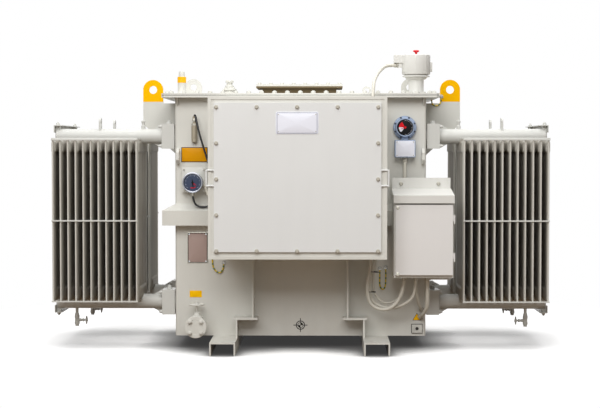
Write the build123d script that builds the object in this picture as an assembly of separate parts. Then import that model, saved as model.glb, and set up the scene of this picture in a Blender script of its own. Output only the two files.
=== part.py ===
from build123d import *
import math
import os

# A sealed power transformer with bolted cover, two cable boxes and four radiators.
# Millimetres, X to the right, Y away from the low-voltage side, Z up.
# The origin is on the ground, under the middle of the tank.

# Base channels
channel_spacing = 895.0
channel_width = 150.0
channel_height = 75.0
channel_length = 1574.0
channel_web = 8.0
channel_flange = 9.0
foundation_hole_inset = 42.0
foundation_hole_radius = 11.0

# Tank
tank_length = 1500.0
tank_width = 860.0
tank_height = 1425.0
tank_corner_cut = 8.0

# Rim flange, gasket and cover
rim_overhang = 75.0
rim_corner_cut = 16.0
rim_flange_thickness = 12.0
gasket_thickness = 3.0
gasket_inset = 4.0
cover_thickness = 10.0
rim_gusset_height = 50.0
rim_gusset_thickness = 6.0
rim_gusset_inset = 6.0

# Stiffening belt round the tank
belt_bottom = 739.0
belt_face_height = 89.0
belt_depth = 72.0
belt_slope_height = 37.0

# Jacking brackets
jacking_pad_width = 144.0
jacking_pad_depth = 130.0
jacking_pad_thickness = 12.0
jacking_pad_top = 195.0
jacking_pad_overlap = 24.5
jacking_plate_thickness = 10.0
jacking_stiffener_inset = 23.0

# Lifting lugs of the whole transformer, on the end walls
lug_thickness = 20.0
lug_reach = 239.0
lug_ear_width = 124.0
lug_hole_rise = 63.0
lug_hole_radius = 25.0
lug_shoulder_drop = 21.0
lug_outer_foot_drop = 150.0
lug_wall_foot_drop = 370.0

# Lifting lugs and eye bolt of the cover
cover_lug_inset = 76.0
cover_lug_width = 104.0
cover_lug_hole_rise = 54.0
cover_lug_hole_radius = 19.5
cover_lug_thickness = 16.0
eye_bolt_end_inset = 351.0
eye_bolt_front_inset = 130.0
eye_bolt_ring_radius = 26.0
eye_bolt_hole_radius = 15.0
eye_bolt_thickness = 12.0
eye_bolt_collar_radius = 14.0
eye_bolt_collar_height = 6.0

# Lashing lugs on the long walls
lashing_lug_inset = 3.0
lashing_lug_thickness = 16.0
lashing_lug_reach = 60.0
lashing_lug_height = 92.0
lashing_lug_drop = 303.0
lashing_lug_corner_cut = 24.0
lashing_hole_radius = 15.0

# Radiators
radiator_pitch = 635.0
header_centre_distance = 1000.0
header_bottom_centre = 271.0
header_radius = 44.45
header_overrun = 24.0
panel_count = 12
panel_pitch = 45.0
panel_first_gap = 216.0
panel_width = 520.0
panel_height = 964.0
panel_thickness = 10.0
panel_notch_lean = 67.5
flute_count = 4
flute_end_margin = 78.0
seam_width = 14.0
seam_depth = 3.4
tie_bar_size = 8.0
tie_bar_overrun = 2.0

# Radiator valves between the tank wall and the headers
valve_collar_radius = 57.0
valve_collar_length = 8.0
valve_size = 150.0
valve_length = 77.0
valve_gusset_length = 55.0
valve_gusset_thickness = 6.0

# Angles that tie the outer ends of the headers
brace_leg = 45.0
brace_thickness = 5.0
brace_overrun = 44.0
brace_foot_size = 28.0
brace_foot_height = 18.0

# Eye, air plug and drain on each pair of headers
eye_width = 60.0
eye_height = 66.0
eye_thickness = 12.0
eye_corner_cut = 18.0
eye_hole_radius = 14.0
air_plug_gap = 13.0
air_plug_radius = 14.0
air_plug_height = 52.0
drain_inset = 124.0
drain_neck_radius = 9.0
drain_body_radius = 15.0
drain_body_height = 64.0
drain_neck_length = 44.5
drain_spindle_drop = 27.0
drain_spindle_radius = 4.0
drain_bonnet_radius = 8.0
drain_bonnet_length = 46.0
drain_wheel_reach = 58.0
drain_wheel_radius = 25.5
drain_wheel_hub_radius = 8.5
drain_wheel_hub_length = 12.0
drain_wheel_rim = 6.0
drain_wheel_arm = 5.0

# Low-voltage cable box at the front
box_rim_clearance = 8.0
box_height = 924.0
box_frame_thickness = 12.0
box_frame_lip = 17.0
box_lip_proud = 5.0
box_flange = 34.0
box_cover_thickness = 15.0
box_cover_side_margin = 34.0
box_cover_bottom_margin = 42.0
box_cover_top_margin = 36.0
box_projection = 500.0
lv_box_centre = -10.0
lv_box_width = 1016.0
handle_reach = 47.0
handle_height = 97.0
handle_radius = 4.5

# High-voltage cable box at the rear
hv_box_width = 820.0

# Inspection cover
inspection_centre = -10.0
inspection_width = 530.0
inspection_depth = 360.0
inspection_neck_inset = 38.0
inspection_neck_height = 44.0
inspection_flange_thickness = 10.0
inspection_plate_thickness = 12.0

# Pressure relief valve
relief_end_inset = 53.0
relief_front_inset = 130.0
relief_neck_radius = 44.0
relief_neck_height = 88.0
relief_flange_radius = 58.0
relief_flange_height = 14.0
relief_base_radius = 80.0
relief_base_height = 10.0
relief_gap_radius = 70.0
relief_gap_height = 8.0
relief_hood_radius = 82.5
relief_hood_height = 119.0
relief_rib_count = 4
relief_rib_width = 9.0
relief_rib_proud = 3.0
relief_pin_radius = 6.0
relief_pin_height = 18.0
relief_button_radius = 18.0
relief_button_height = 14.0
relief_switch_length = 52.0
relief_switch_width = 44.0
relief_switch_height = 50.0
relief_elbow_length = 26.0
relief_elbow_height = 28.4

# Oil filling pipe and filler fitting
filling_end_inset = 35.0
filling_front_inset = 70.0
filling_radius = 24.0
filling_height = 136.0
filling_cap_radius = 27.0
filling_cap_height = 33.0
filler_end_inset = 310.0
filler_front_inset = 280.0
filler_base_radius = 43.5
filler_base_height = 16.0
filler_neck_radius = 20.5
filler_cap_radius = 28.5
filler_cap_height = 26.0
filler_height = 92.0

# Thermometer pocket on the front wall
pocket_end_inset = 117.0
pocket_drop = 265.0
pocket_standoff = 18.0
pocket_radius = 17.0
pocket_height = 99.0
pocket_nut_radius = 15.0
pocket_nut_height = 12.0
pocket_stem_radius = 8.0
pocket_stem_height = 45.0

# Dial thermometer on its bracket plate
thermometer_end_inset = 111.0
thermometer_drop = 505.0
thermometer_case_radius = 57.0
thermometer_bezel_radius = 62.0
thermometer_bezel_depth = 14.0
thermometer_glass_radius = 52.0
thermometer_glass_recess = 3.0
thermometer_depth = 62.0
thermometer_plate_width = 145.0
thermometer_plate_height = 149.0
thermometer_plate_thickness = 4.0
thermometer_plate_standoff = 25.0
thermometer_plate_shift = 4.0
thermometer_plate_drop = 60.0
thermometer_rail_height = 16.0
thermometer_rail_inset = 12.0
thermometer_fitting_radius = 7.0
thermometer_fitting_length = 18.0
thermometer_gland_angle = -15.0

# Oil level gauge and its terminal box
level_end_inset = 128.0
level_drop = 178.0
level_flange_radius = 69.0
level_flange_depth = 26.0
level_dial_radius = 56.0
level_dial_depth = 60.0
level_glass_radius = 48.0
level_glass_recess = 4.0
level_box_width = 123.0
level_box_height = 104.0
level_box_depth = 70.0
level_box_drop = 178.0
level_link_width = 40.0
level_link_depth = 30.0

# Control box
control_end_inset = 205.0
control_width = 345.0
control_bottom = 449.0
control_height = 475.0
control_depth = 230.0
control_wall = 3.0
control_frame_width = 26.0
control_frame_bottom = 30.0
control_frame_top = 66.0
control_door_left_margin = 8.0
control_door_right_margin = 6.0
control_door_bottom_margin = 17.0
control_door_top_margin = 52.0
control_door_thickness = 20.0
control_door_sheet = 3.0
control_door_gap = 2.0
hood_side_overhang = 3.0
hood_rise = 34.0
hood_lip_drop = 42.0
hood_overhang = 30.0
hood_thickness = 3.0
control_flange_rise = 100.0
control_foot_drop = 30.0
control_rail_height = 46.0
control_rail_thickness = 6.0
control_rail_inset = 24.0
control_slot_width = 12.0
control_slot_length = 26.0
control_slot_drop = 36.0
control_slot_left_inset = 53.0
control_slot_right_inset = 71.0

# Hinges of the control box door
hinge_radius = 5.0
hinge_pin_radius = 2.5
hinge_length = 50.0
hinge_offset = 4.0
hinge_leaf_thickness = 4.0
hinge_low_inset = 102.0
hinge_high_inset = 85.0
hinge_clearance = 0.1

# Main drain valve at the front
main_drain_end_inset = 134.0
main_drain_height = 144.0
main_drain_flange_radius = 65.0
main_drain_flange_thickness = 14.0
main_drain_length = 170.0
main_drain_pipe_radius = 30.0
main_drain_body_size = 84.0
main_drain_body_length = 60.0
main_drain_bonnet_radius = 24.0
main_drain_bonnet_rise = 78.0
main_drain_spindle_radius = 6.0
main_drain_wheel_rise = 124.0
main_drain_wheel_radius = 47.0
main_drain_hub_radius = 12.0
main_drain_hub_length = 22.0
main_drain_wheel_rim = 9.0
main_drain_wheel_arm = 8.0

# Earthing pad on the front wall
earth_pad_end_inset = 51.5
earth_pad_height_above_ground = 119.0
earth_pad_width = 63.0
earth_pad_height = 50.0
earth_pad_thickness = 12.0
earth_hole_radius = 7.0

# Conduits, capillary and earth jumpers
arc_share = 0.45
first_conduit_radius = 8.5
second_conduit_radius = 7.0
third_conduit_radius = 4.0
fourth_conduit_radius = 7.5
fifth_conduit_radius = 10.0
relief_conduit_radius = 8.0
level_conduit_radius = 9.0
thermometer_conduit_radius = 8.0
gland_wall = 4.0
gland_length = 14.0
jumper_radius = 4.0
jumper_boss_radius = 11.0
jumper_boss_depth = 14.0
capillary_radius = 4.0

# Clearances between pieces
seat_gap = 0.3

# Numbers of sides that stand for small round pieces
wheel_sides = 12
small_sides = 6
wire_sides = 4
knuckle_sides = 8
dial_sides = 24
pipe_sides = 16
neck_sides = 16

# Levels and faces that follow from the sizes above
tank_bottom = channel_height
tank_rim = tank_bottom + tank_height
gasket_bottom = tank_rim + rim_flange_thickness
cover_bottom = gasket_bottom + gasket_thickness
cover_top = cover_bottom + cover_thickness
half_length = tank_length / 2
half_width = tank_width / 2
header_y = radiator_pitch / 2
header_levels = (header_bottom_centre, header_bottom_centre + header_centre_distance)
header_start = half_length + valve_collar_length + valve_length
panel_middle = header_bottom_centre + header_centre_distance / 2
panel_first = half_length + panel_first_gap
panel_last = panel_first + (panel_count - 1) * panel_pitch
header_end = panel_last + header_overrun
box_top = tank_rim - box_rim_clearance
box_bottom = box_top - box_height
box_body_bottom = box_bottom + box_flange
box_body_top = box_top - box_flange / 2
control_left = half_length - control_end_inset
control_right = control_left + control_width
control_back = -half_width - belt_depth
control_front = control_back - control_depth
control_top = control_bottom + control_height
control_flange_top = control_top + control_flange_rise
door_bottom = control_bottom + control_door_bottom_margin
door_top = control_top - control_door_top_margin


def block(x0, x1, y0, y1, z0, z1):
    """A plain box between two opposite corners."""
    middle = ((x0 + x1) / 2, (y0 + y1) / 2, (z0 + z1) / 2)
    return Pos(*middle) * Box(abs(x1 - x0), abs(y1 - y0), abs(z1 - z0))


def bar(start, direction, radius, length):
    """A round bar from a point along a direction."""
    place = Plane(origin=start, z_dir=direction)
    return place * Cylinder(radius, length, align=(Align.CENTER, Align.CENTER, Align.MIN))


def prism(start, direction, radius, length, sides):
    """A bar of few sides from a point along a direction, measured across its flats."""
    corner_radius = radius / math.cos(math.pi / sides)
    outline = RegularPolygon(corner_radius, sides, rotation=180 / sides)
    section = Plane(origin=start, z_dir=direction) * outline
    return extrude(section, amount=length, dir=direction)


def plate_xz(points, y0, y1):
    """A flat plate cut to an outline in X and Z, between two Y faces."""
    face = make_face(Polyline(*[(x, y1, z) for x, z in points], close=True))
    return extrude(face, amount=y1 - y0, dir=(0, -1, 0))


def plate_yz(points, x0, x1):
    """A flat plate cut to an outline in Y and Z, between two X faces."""
    face = make_face(Polyline(*[(x0, y, z) for y, z in points], close=True))
    return extrude(face, amount=x1 - x0, dir=(1, 0, 0))


def upright_slab(length, width, corner_cut, z0, z1):
    """A slab with cut vertical corners, centred on the Z axis."""
    outline = chamfer(Rectangle(length, width).vertices(), corner_cut)
    return extrude(Pos(0, 0, z0) * outline, amount=z1 - z0)


def left(shape):
    """The mirror image on the other side of the middle, in X."""
    return mirror(shape, about=Plane.YZ)


def rear(shape):
    """The mirror image on the other side of the middle, in Y."""
    return mirror(shape, about=Plane.XZ)


def save(shape, name):
    """Write one piece, or several that share a node, to its own file."""
    export_step(shape, f"parts/{name}.step")


def base_channel():
    """One rolled channel, web up, with two foundation holes."""
    centre = channel_spacing / 2
    half = channel_width / 2
    end = channel_length / 2
    web = block(centre - half, centre + half, -end, end, channel_height - channel_web, channel_height)
    inner = block(centre - half, centre - half + channel_flange, -end, end, 0, channel_height)
    outer = block(centre + half - channel_flange, centre + half, -end, end, 0, channel_height)
    channel = web + inner + outer
    for side in (-1, 1):
        hole_y = side * (end - foundation_hole_inset)
        channel -= bar((centre, hole_y, 0), (0, 0, 1), foundation_hole_radius, channel_height + 1)
    return channel


def tank_solid(z0, z1):
    """The outline of the tank walls between two levels."""
    return upright_slab(tank_length, tank_width, tank_corner_cut, z0, z1)


def rim_ring(inset, z0, z1):
    """A ring round the top of the tank, as wide as the cover less an inset."""
    length = tank_length + 2 * (rim_overhang - inset)
    width = tank_width + 2 * (rim_overhang - inset)
    return upright_slab(length, width, rim_corner_cut, z0, z1) - tank_solid(z0 - 1, z1 + 1)


def rim_flange():
    """The rim flange with a small gusset under it near each corner."""
    flange = rim_ring(0, tank_rim, gasket_bottom)
    reach = rim_overhang - rim_gusset_inset * 2
    x0 = half_length - tank_corner_cut - rim_gusset_inset
    outline = [
        (-half_width, tank_rim),
        (-half_width - reach, tank_rim),
        (-half_width, tank_rim - rim_gusset_height),
    ]
    gusset = plate_yz(outline, x0 - rim_gusset_thickness, x0)
    pair = gusset + left(gusset)
    return flange + pair + rear(pair)


def tank_cover():
    """The flat cover plate."""
    length = tank_length + 2 * rim_overhang
    width = tank_width + 2 * rim_overhang
    return upright_slab(length, width, rim_corner_cut, cover_bottom, cover_top)


def belt_half(front_stop, rear_stop):
    """The right half of the stiffening belt, between the two cable boxes."""
    top = belt_bottom + belt_face_height
    face_length = tank_length + 2 * belt_depth
    face_width = tank_width + 2 * belt_depth
    face = Pos(0, 0, belt_bottom) * Rectangle(face_length, face_width)
    belt = extrude(face, amount=belt_face_height)
    wide = Pos(0, 0, top) * Rectangle(face_length, face_width)
    narrow = Pos(0, 0, top + belt_slope_height) * Rectangle(tank_length, tank_width)
    belt += loft([wide, narrow])
    levels = (belt_bottom - 1, top + belt_slope_height + 1)
    belt -= tank_solid(*levels)
    belt -= block(-face_length, front_stop, -face_width, 0, *levels)
    belt -= block(-face_length, rear_stop, 0, face_width, *levels)
    return belt


def jacking_bracket(stiffener_top):
    """A jacking pad on the front wall over the right channel, with its two plates."""
    channel_inner = channel_spacing / 2 - channel_width / 2
    pad_right = channel_inner + jacking_pad_overlap
    pad_left = pad_right - jacking_pad_width
    front = -half_width - jacking_pad_depth
    pad_bottom = jacking_pad_top - jacking_pad_thickness
    pad = block(pad_left, pad_right, front, -half_width, pad_bottom, jacking_pad_top)
    lower_right = channel_inner + jacking_plate_thickness
    lower = block(channel_inner, lower_right, front, -half_width, channel_height, pad_bottom)
    upper_left = pad_left + jacking_stiffener_inset
    upper_right = upper_left + jacking_plate_thickness
    upper = block(upper_left, upper_right, front, -half_width, jacking_pad_top, stiffener_top)
    return pad + lower + upper


def lifting_lug():
    """The right lifting lug: a plate that stands out of the end wall and up past the cover."""
    outer = half_length + lug_reach
    ear_radius = lug_ear_width / 2
    ear_centre = outer - ear_radius
    hole_level = tank_rim + lug_hole_rise
    outline = [
        (half_length, tank_rim - lug_wall_foot_drop),
        (outer, tank_rim - lug_outer_foot_drop),
        (outer, hole_level),
        (outer - lug_ear_width, hole_level),
        (outer - lug_ear_width, tank_rim - lug_shoulder_drop),
        (half_length, tank_rim - lug_shoulder_drop),
    ]
    half = lug_thickness / 2
    plate = plate_xz(outline, -half, half)
    place = (ear_centre, -half, hole_level)
    plate += prism(place, (0, 1, 0), ear_radius, lug_thickness, dial_sides)
    return plate - bar(place, (0, 1, 0), lug_hole_radius, lug_thickness)


def cover_lug():
    """One ring lug that stands on the cover."""
    half = cover_lug_width / 2
    x = half_length - cover_lug_inset
    centre = cover_top + cover_lug_hole_rise
    side = cover_lug_thickness / 2
    plate = block(x - half, x + half, -side, side, cover_top, centre)
    place = (x, -side, centre)
    plate += prism(place, (0, 1, 0), half, cover_lug_thickness, dial_sides)
    return plate - bar(place, (0, 1, 0), cover_lug_hole_radius, cover_lug_thickness)


def eye_bolt():
    """The eye bolt screwed into the cover, beside the inspection opening."""
    x = half_length - eye_bolt_end_inset
    y = -half_width + eye_bolt_front_inset
    collar = prism((x, y, cover_top), (0, 0, 1), eye_bolt_collar_radius, eye_bolt_collar_height,
                   small_sides)
    centre = cover_top + eye_bolt_collar_height + eye_bolt_hole_radius
    place = (x, y - eye_bolt_thickness / 2, centre)
    ring = prism(place, (0, 1, 0), eye_bolt_ring_radius, eye_bolt_thickness, neck_sides)
    ring -= block(x - eye_bolt_ring_radius * 2, x + eye_bolt_ring_radius * 2,
                  y - eye_bolt_thickness, y + eye_bolt_thickness, cover_top - eye_bolt_ring_radius,
                  cover_top)
    return collar + ring - prism(place, (0, 1, 0), eye_bolt_hole_radius, eye_bolt_thickness,
                                 neck_sides)


def lashing_lug():
    """One lashing plate that stands out of the front wall near its corner."""
    x1 = half_length - tank_corner_cut - lashing_lug_inset
    x0 = x1 - lashing_lug_thickness
    y0 = -half_width - lashing_lug_reach
    z1 = tank_rim - lashing_lug_drop
    z0 = z1 - lashing_lug_height
    cut = lashing_lug_corner_cut
    outline = [
        (-half_width, z0),
        (y0 + cut, z0),
        (y0, z0 + cut),
        (y0, z1 - cut),
        (y0 + cut, z1),
        (-half_width, z1),
    ]
    plate = plate_yz(outline, x0, x1)
    hole_y = -half_width - lashing_lug_reach / 2
    middle = (z0 + z1) / 2
    return plate - bar((x0, hole_y, middle), (1, 0, 0), lashing_hole_radius, lashing_lug_thickness)


def panel_seams(x_face, direction):
    """The pressed seams between the flutes on one face of a radiator panel."""
    pitch = panel_width / flute_count
    half = seam_width / 2
    length = panel_height - 2 * flute_end_margin
    seams = []
    for number in range(1, flute_count):
        y = -panel_width / 2 + number * pitch
        points = [
            (x_face + direction, y - half),
            (x_face - direction * seam_depth, y),
            (x_face + direction, y + half),
        ]
        groove = make_face(Polyline(*points, close=True))
        seams.append(Pos(0, 0, -length / 2) * extrude(groove, amount=length))
    return seams


def header_notch(up):
    """The notch in one end of a panel: three faces, each touching the header pipe."""
    lean = math.radians(panel_notch_lean)
    end = panel_height / 2 + 1
    centre = header_centre_distance / 2
    narrow = header_radius * math.tan(lean / 2)
    wide = (header_radius - (centre - end) * math.cos(lean)) / math.sin(lean)
    outline = [
        (-wide, up * end),
        (-narrow, up * (centre - header_radius)),
        (narrow, up * (centre - header_radius)),
        (wide, up * end),
    ]
    return plate_yz(outline, -panel_thickness, panel_thickness)


def radiator_panel():
    """One pressed panel, centred on its own middle, with flutes on both faces."""
    half = panel_thickness / 2
    panel = Box(panel_thickness, panel_width, panel_height)
    return panel - (panel_seams(half, 1) + panel_seams(-half, -1) + [header_notch(-1), header_notch(1)])


def radiator_panels():
    """The panels of the front right radiator."""
    panel = radiator_panel()
    places = []
    for number in range(panel_count):
        x = panel_first + number * panel_pitch
        places.append(Pos(x, -header_y, panel_middle) * panel)
    return Compound(places)


def header_pipe(level):
    """One header pipe of the front right radiator, from its valve to its closed end."""
    start = (header_start, -header_y, level)
    return prism(start, (1, 0, 0), header_radius, header_end - header_start, pipe_sides)


def brace_foot(level, up):
    """The square foot between a header and the angle that ties it."""
    half = brace_foot_size / 2
    x = header_end - half
    end = level + up * (header_radius + brace_foot_height)
    return block(x - half, x + half, -header_y - half, -header_y + half, level, end)


def header_eye(level):
    """The lifting eye on a top header, over the middle of the panels."""
    x0 = (panel_first + panel_last - eye_thickness) / 2
    half = eye_width / 2
    top = level + header_radius + eye_height
    outline = [
        (-header_y - half, level),
        (-header_y - half, top - eye_corner_cut),
        (-header_y - half + eye_corner_cut, top),
        (-header_y + half - eye_corner_cut, top),
        (-header_y + half, top - eye_corner_cut),
        (-header_y + half, level),
    ]
    eye = plate_yz(outline, x0, x0 + eye_thickness)
    place = (x0, -header_y, top - half)
    return eye - bar(place, (1, 0, 0), eye_hole_radius, eye_thickness)


def top_header():
    """The top header with its lifting eye and its air plug."""
    level = header_levels[1]
    plug = prism((panel_first - air_plug_gap, -header_y, level), (0, 0, 1), air_plug_radius,
                 header_radius + air_plug_height, small_sides)
    return header_pipe(level) + brace_foot(level, 1) + header_eye(level) + plug


def drain_place():
    """X of a radiator drain, and the level of its spindle."""
    x = header_end - drain_inset
    body_top = header_bottom_centre - header_radius - drain_neck_length
    return x, body_top - drain_spindle_drop


def bottom_header():
    """The bottom header with its small drain valve."""
    level = header_levels[0]
    x, spindle_level = drain_place()
    body_top = spindle_level + drain_spindle_drop
    neck = prism((x, -header_y, body_top), (0, 0, 1), drain_neck_radius, level - body_top, small_sides)
    body = prism((x, -header_y, body_top - drain_body_height), (0, 0, 1), drain_body_radius,
                 drain_body_height, small_sides)
    bonnet = prism((x, -header_y, spindle_level), (-1, 0, 0), drain_bonnet_radius,
                   drain_bonnet_length, small_sides)
    return header_pipe(level) + brace_foot(level, -1) + neck + body + bonnet


def hand_wheel(radius, rim_width, hub_radius, hub_length, arm_width):
    """A spoked hand wheel about the Z axis."""
    sides = wheel_sides
    rim = RegularPolygon(radius, sides) - RegularPolygon(radius - rim_width, sides)
    wheel = extrude(rim, amount=rim_width / 2, both=True)
    wheel += prism((0, 0, -hub_length / 2), (0, 0, 1), hub_radius, hub_length, small_sides)
    reach = 2 * radius - rim_width
    return wheel + Box(reach, arm_width, arm_width) + Box(arm_width, reach, arm_width)


def drain_wheel():
    """The hand wheel of the front right radiator drain, with its spindle."""
    x, level = drain_place()
    wheel = hand_wheel(drain_wheel_radius, drain_wheel_rim, drain_wheel_hub_radius,
                       drain_wheel_hub_length, drain_wheel_arm)
    length = drain_wheel_reach - drain_bonnet_length - seat_gap
    wheel += prism((0, 0, 0), (0, 0, 1), drain_spindle_radius, length, small_sides)
    return Pos(x - drain_wheel_reach, -header_y, level) * Rot(0, 90, 0) * wheel


def tie_bars():
    """The square bars across the front and back edges of the front right radiator."""
    x0 = panel_first - panel_thickness / 2 - tie_bar_overrun
    x1 = panel_last + panel_thickness / 2 + tie_bar_overrun
    half = tie_bar_size / 2
    outermost = panel_height / 2 - half
    bars = []
    for level in (-outermost, 0, outermost):
        z = panel_middle + level
        front = -header_y - panel_width / 2
        back = -header_y + panel_width / 2
        bars.append(block(x0, x1, front - tie_bar_size, front, z - half, z + half))
        bars.append(block(x0, x1, back, back + tie_bar_size, z - half, z + half))
    return bars


def radiator_valve(level):
    """The valve block between the tank wall and a header, with its gussets."""
    x0 = half_length
    x1 = x0 + valve_collar_length
    x2 = header_start
    valve = prism((x0, -header_y, level), (1, 0, 0), valve_collar_radius, valve_collar_length,
                  wheel_sides)
    half = valve_size / 2
    valve += block(x1, x2, -header_y - half, -header_y + half, level - half, level + half)
    side = valve_gusset_thickness / 2
    for turn in (-1, 1):
        outline = [
            (x2, level + turn * header_radius),
            (x2 + valve_gusset_length, level + turn * header_radius),
            (x2, level + turn * half),
        ]
        valve += plate_xz(outline, -header_y - side, -header_y + side)
    return valve


def radiator_brace(level, up):
    """The angle that ties the outer ends of the front and rear headers on the right."""
    foot = level + up * (header_radius + brace_foot_height)
    end = header_y + brace_overrun
    x1 = header_end + brace_thickness
    x0 = x1 - brace_leg
    flat = block(x0, x1, -end, end, foot, foot + up * brace_thickness)
    upright = block(header_end, x1, -end, end, foot, foot + up * (brace_thickness - brace_leg))
    return flat + upright


def cable_box(centre, width):
    """A cable box on the front wall, with the flange that its cover is bolted to."""
    left_edge = centre - width / 2
    right_edge = centre + width / 2
    flange_front = -half_width - box_projection + box_cover_thickness
    flange_back = flange_front + box_frame_thickness
    body = block(left_edge + box_flange, right_edge - box_flange, flange_back, -half_width,
                 box_body_bottom, box_body_top)
    flange = block(left_edge, right_edge, flange_front, flange_back, box_bottom, box_top)
    lip = block(left_edge, right_edge, flange_front - box_lip_proud, flange_front,
                box_bottom, box_top)
    lip -= block(left_edge + box_frame_lip, right_edge - box_frame_lip,
                 flange_front - box_lip_proud, flange_front,
                 box_bottom + box_frame_lip, box_top - box_frame_lip)
    return body + flange + lip


def cable_box_cover(centre, width):
    """The bolted cover of a cable box, with a bar handle at each side."""
    x0 = centre - width / 2 + box_cover_side_margin
    x1 = centre + width / 2 - box_cover_side_margin
    z0 = box_bottom + box_cover_bottom_margin
    z1 = box_top - box_cover_top_margin
    front = -half_width - box_projection
    cover = block(x0, x1, front, front + box_cover_thickness, z0, z1)
    cover += handle(x1, 1, front)
    return cover + handle(x0, -1, front)


def handle(edge, side, front):
    """A bent bar handle at one edge of a cover."""
    y = front + handle_radius + seat_gap
    middle = (box_bottom + box_top) / 2
    low = middle - handle_height / 2
    reach = handle_reach - handle_radius
    grip = prism((edge + side * reach, y, low), (0, 0, 1), handle_radius, handle_height, small_sides)
    for level in (low + handle_radius, low + handle_height - handle_radius):
        grip += prism((edge, y, level), (side, 0, 0), handle_radius, reach, small_sides)
    return grip


def inspection_neck():
    """The neck and flange of the inspection opening on the cover."""
    half = inspection_width / 2
    depth = inspection_depth / 2
    z1 = cover_top + inspection_neck_height
    inset = inspection_neck_inset
    neck = block(inspection_centre - half + inset, inspection_centre + half - inset,
                 -depth + inset, depth - inset, cover_top, z1)
    flange = block(inspection_centre - half, inspection_centre + half, -depth, depth,
                   z1, z1 + inspection_flange_thickness)
    return neck + flange


def inspection_plate():
    """The bolted plate over the inspection opening."""
    half = inspection_width / 2
    depth = inspection_depth / 2
    z0 = cover_top + inspection_neck_height + inspection_flange_thickness
    return block(inspection_centre - half, inspection_centre + half, -depth, depth,
                 z0, z0 + inspection_plate_thickness)


def relief_place():
    """X and Y of the pressure relief valve on the cover."""
    return half_length - relief_end_inset, -half_width + relief_front_inset


def relief_hood_top():
    """The level of the top of the relief valve's hood."""
    base = cover_top + relief_neck_height + relief_flange_height + relief_base_height
    return base + relief_gap_height + relief_hood_height


def relief_valve():
    """The pressure relief valve: stepped body, ribbed hood, button and switch box."""
    x, y = relief_place()
    steps = [
        (relief_neck_radius, relief_neck_height),
        (relief_flange_radius, relief_flange_height),
        (relief_base_radius, relief_base_height),
        (relief_gap_radius, relief_gap_height),
        (relief_hood_radius, relief_hood_height),
    ]
    z = cover_top
    bodies = []
    for radius, height in steps:
        bodies.append(prism((x, y, z), (0, 0, 1), radius, height, neck_sides))
        z += height
    top = relief_hood_top()
    rib_reach = relief_hood_radius + relief_rib_proud
    for number in range(relief_rib_count):
        turn = 360.0 / relief_rib_count * number
        rib = block(0, rib_reach, -relief_rib_width / 2, relief_rib_width / 2,
                    top - relief_hood_height, top)
        bodies.append(Pos(x, y, 0) * Rot(0, 0, turn) * rib)
    bodies.append(prism((x, y, top), (0, 0, 1), relief_pin_radius, relief_pin_height, small_sides))
    button = loft([
        Pos(x, y, top + relief_pin_height) * RegularPolygon(relief_pin_radius, wheel_sides),
        Pos(x, y, top + relief_pin_height + relief_button_height)
        * RegularPolygon(relief_button_radius, wheel_sides),
    ])
    bodies.append(button)
    reach = relief_hood_radius + relief_switch_length
    half = relief_switch_width / 2
    under = top - relief_switch_height
    bodies.append(block(x - reach, x, y - half, y + half, under, top))
    elbow_end = x - relief_hood_radius
    half = relief_elbow_length / 2
    bodies.append(block(elbow_end - relief_elbow_length, elbow_end, y - half, y + half,
                        under - relief_elbow_height, under))
    valve = bodies[0]
    for body in bodies[1:]:
        valve += body
    return valve


def capped_pipe(x, y, radius, height, cap_radius, cap_height):
    """An upright pipe on the cover with a screwed cap."""
    pipe = prism((x, y, cover_top), (0, 0, 1), radius, height, neck_sides)
    low = cover_top + height - cap_height
    return pipe + prism((x, y, low), (0, 0, 1), cap_radius, cap_height, neck_sides)


def filling_pipe():
    """The oil filling pipe near the left end of the cover."""
    x = -half_length + filling_end_inset
    y = -half_width + filling_front_inset
    return capped_pipe(x, y, filling_radius, filling_height, filling_cap_radius, filling_cap_height)


def filler_fitting():
    """The small filler neck with its flange and cap."""
    x = -half_length + filler_end_inset
    y = -half_width + filler_front_inset
    flange = prism((x, y, cover_top), (0, 0, 1), filler_base_radius, filler_base_height, neck_sides)
    return flange + capped_pipe(x, y, filler_neck_radius, filler_height, filler_cap_radius,
                                filler_cap_height)


def pocket_top():
    """The level where the capillary leaves the thermometer pocket."""
    bottom = tank_rim - pocket_drop
    return bottom + pocket_height + pocket_nut_height + pocket_stem_height


def thermometer_pocket():
    """The upright thermometer pocket on the front wall, with its nut and stem."""
    x = -half_length + pocket_end_inset
    y = -half_width - pocket_standoff
    z = tank_rim - pocket_drop
    pocket = prism((x, y, z), (0, 0, 1), pocket_radius, pocket_height, neck_sides)
    half = pocket_radius * math.sin(math.pi / 4)
    pocket += block(x - half, x + half, y, -half_width, z, z + pocket_height)
    z += pocket_height
    pocket += prism((x, y, z), (0, 0, 1), pocket_nut_radius, pocket_nut_height, small_sides)
    z += pocket_nut_height
    return pocket + prism((x, y, z), (0, 0, 1), pocket_stem_radius, pocket_stem_height, small_sides)


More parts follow.
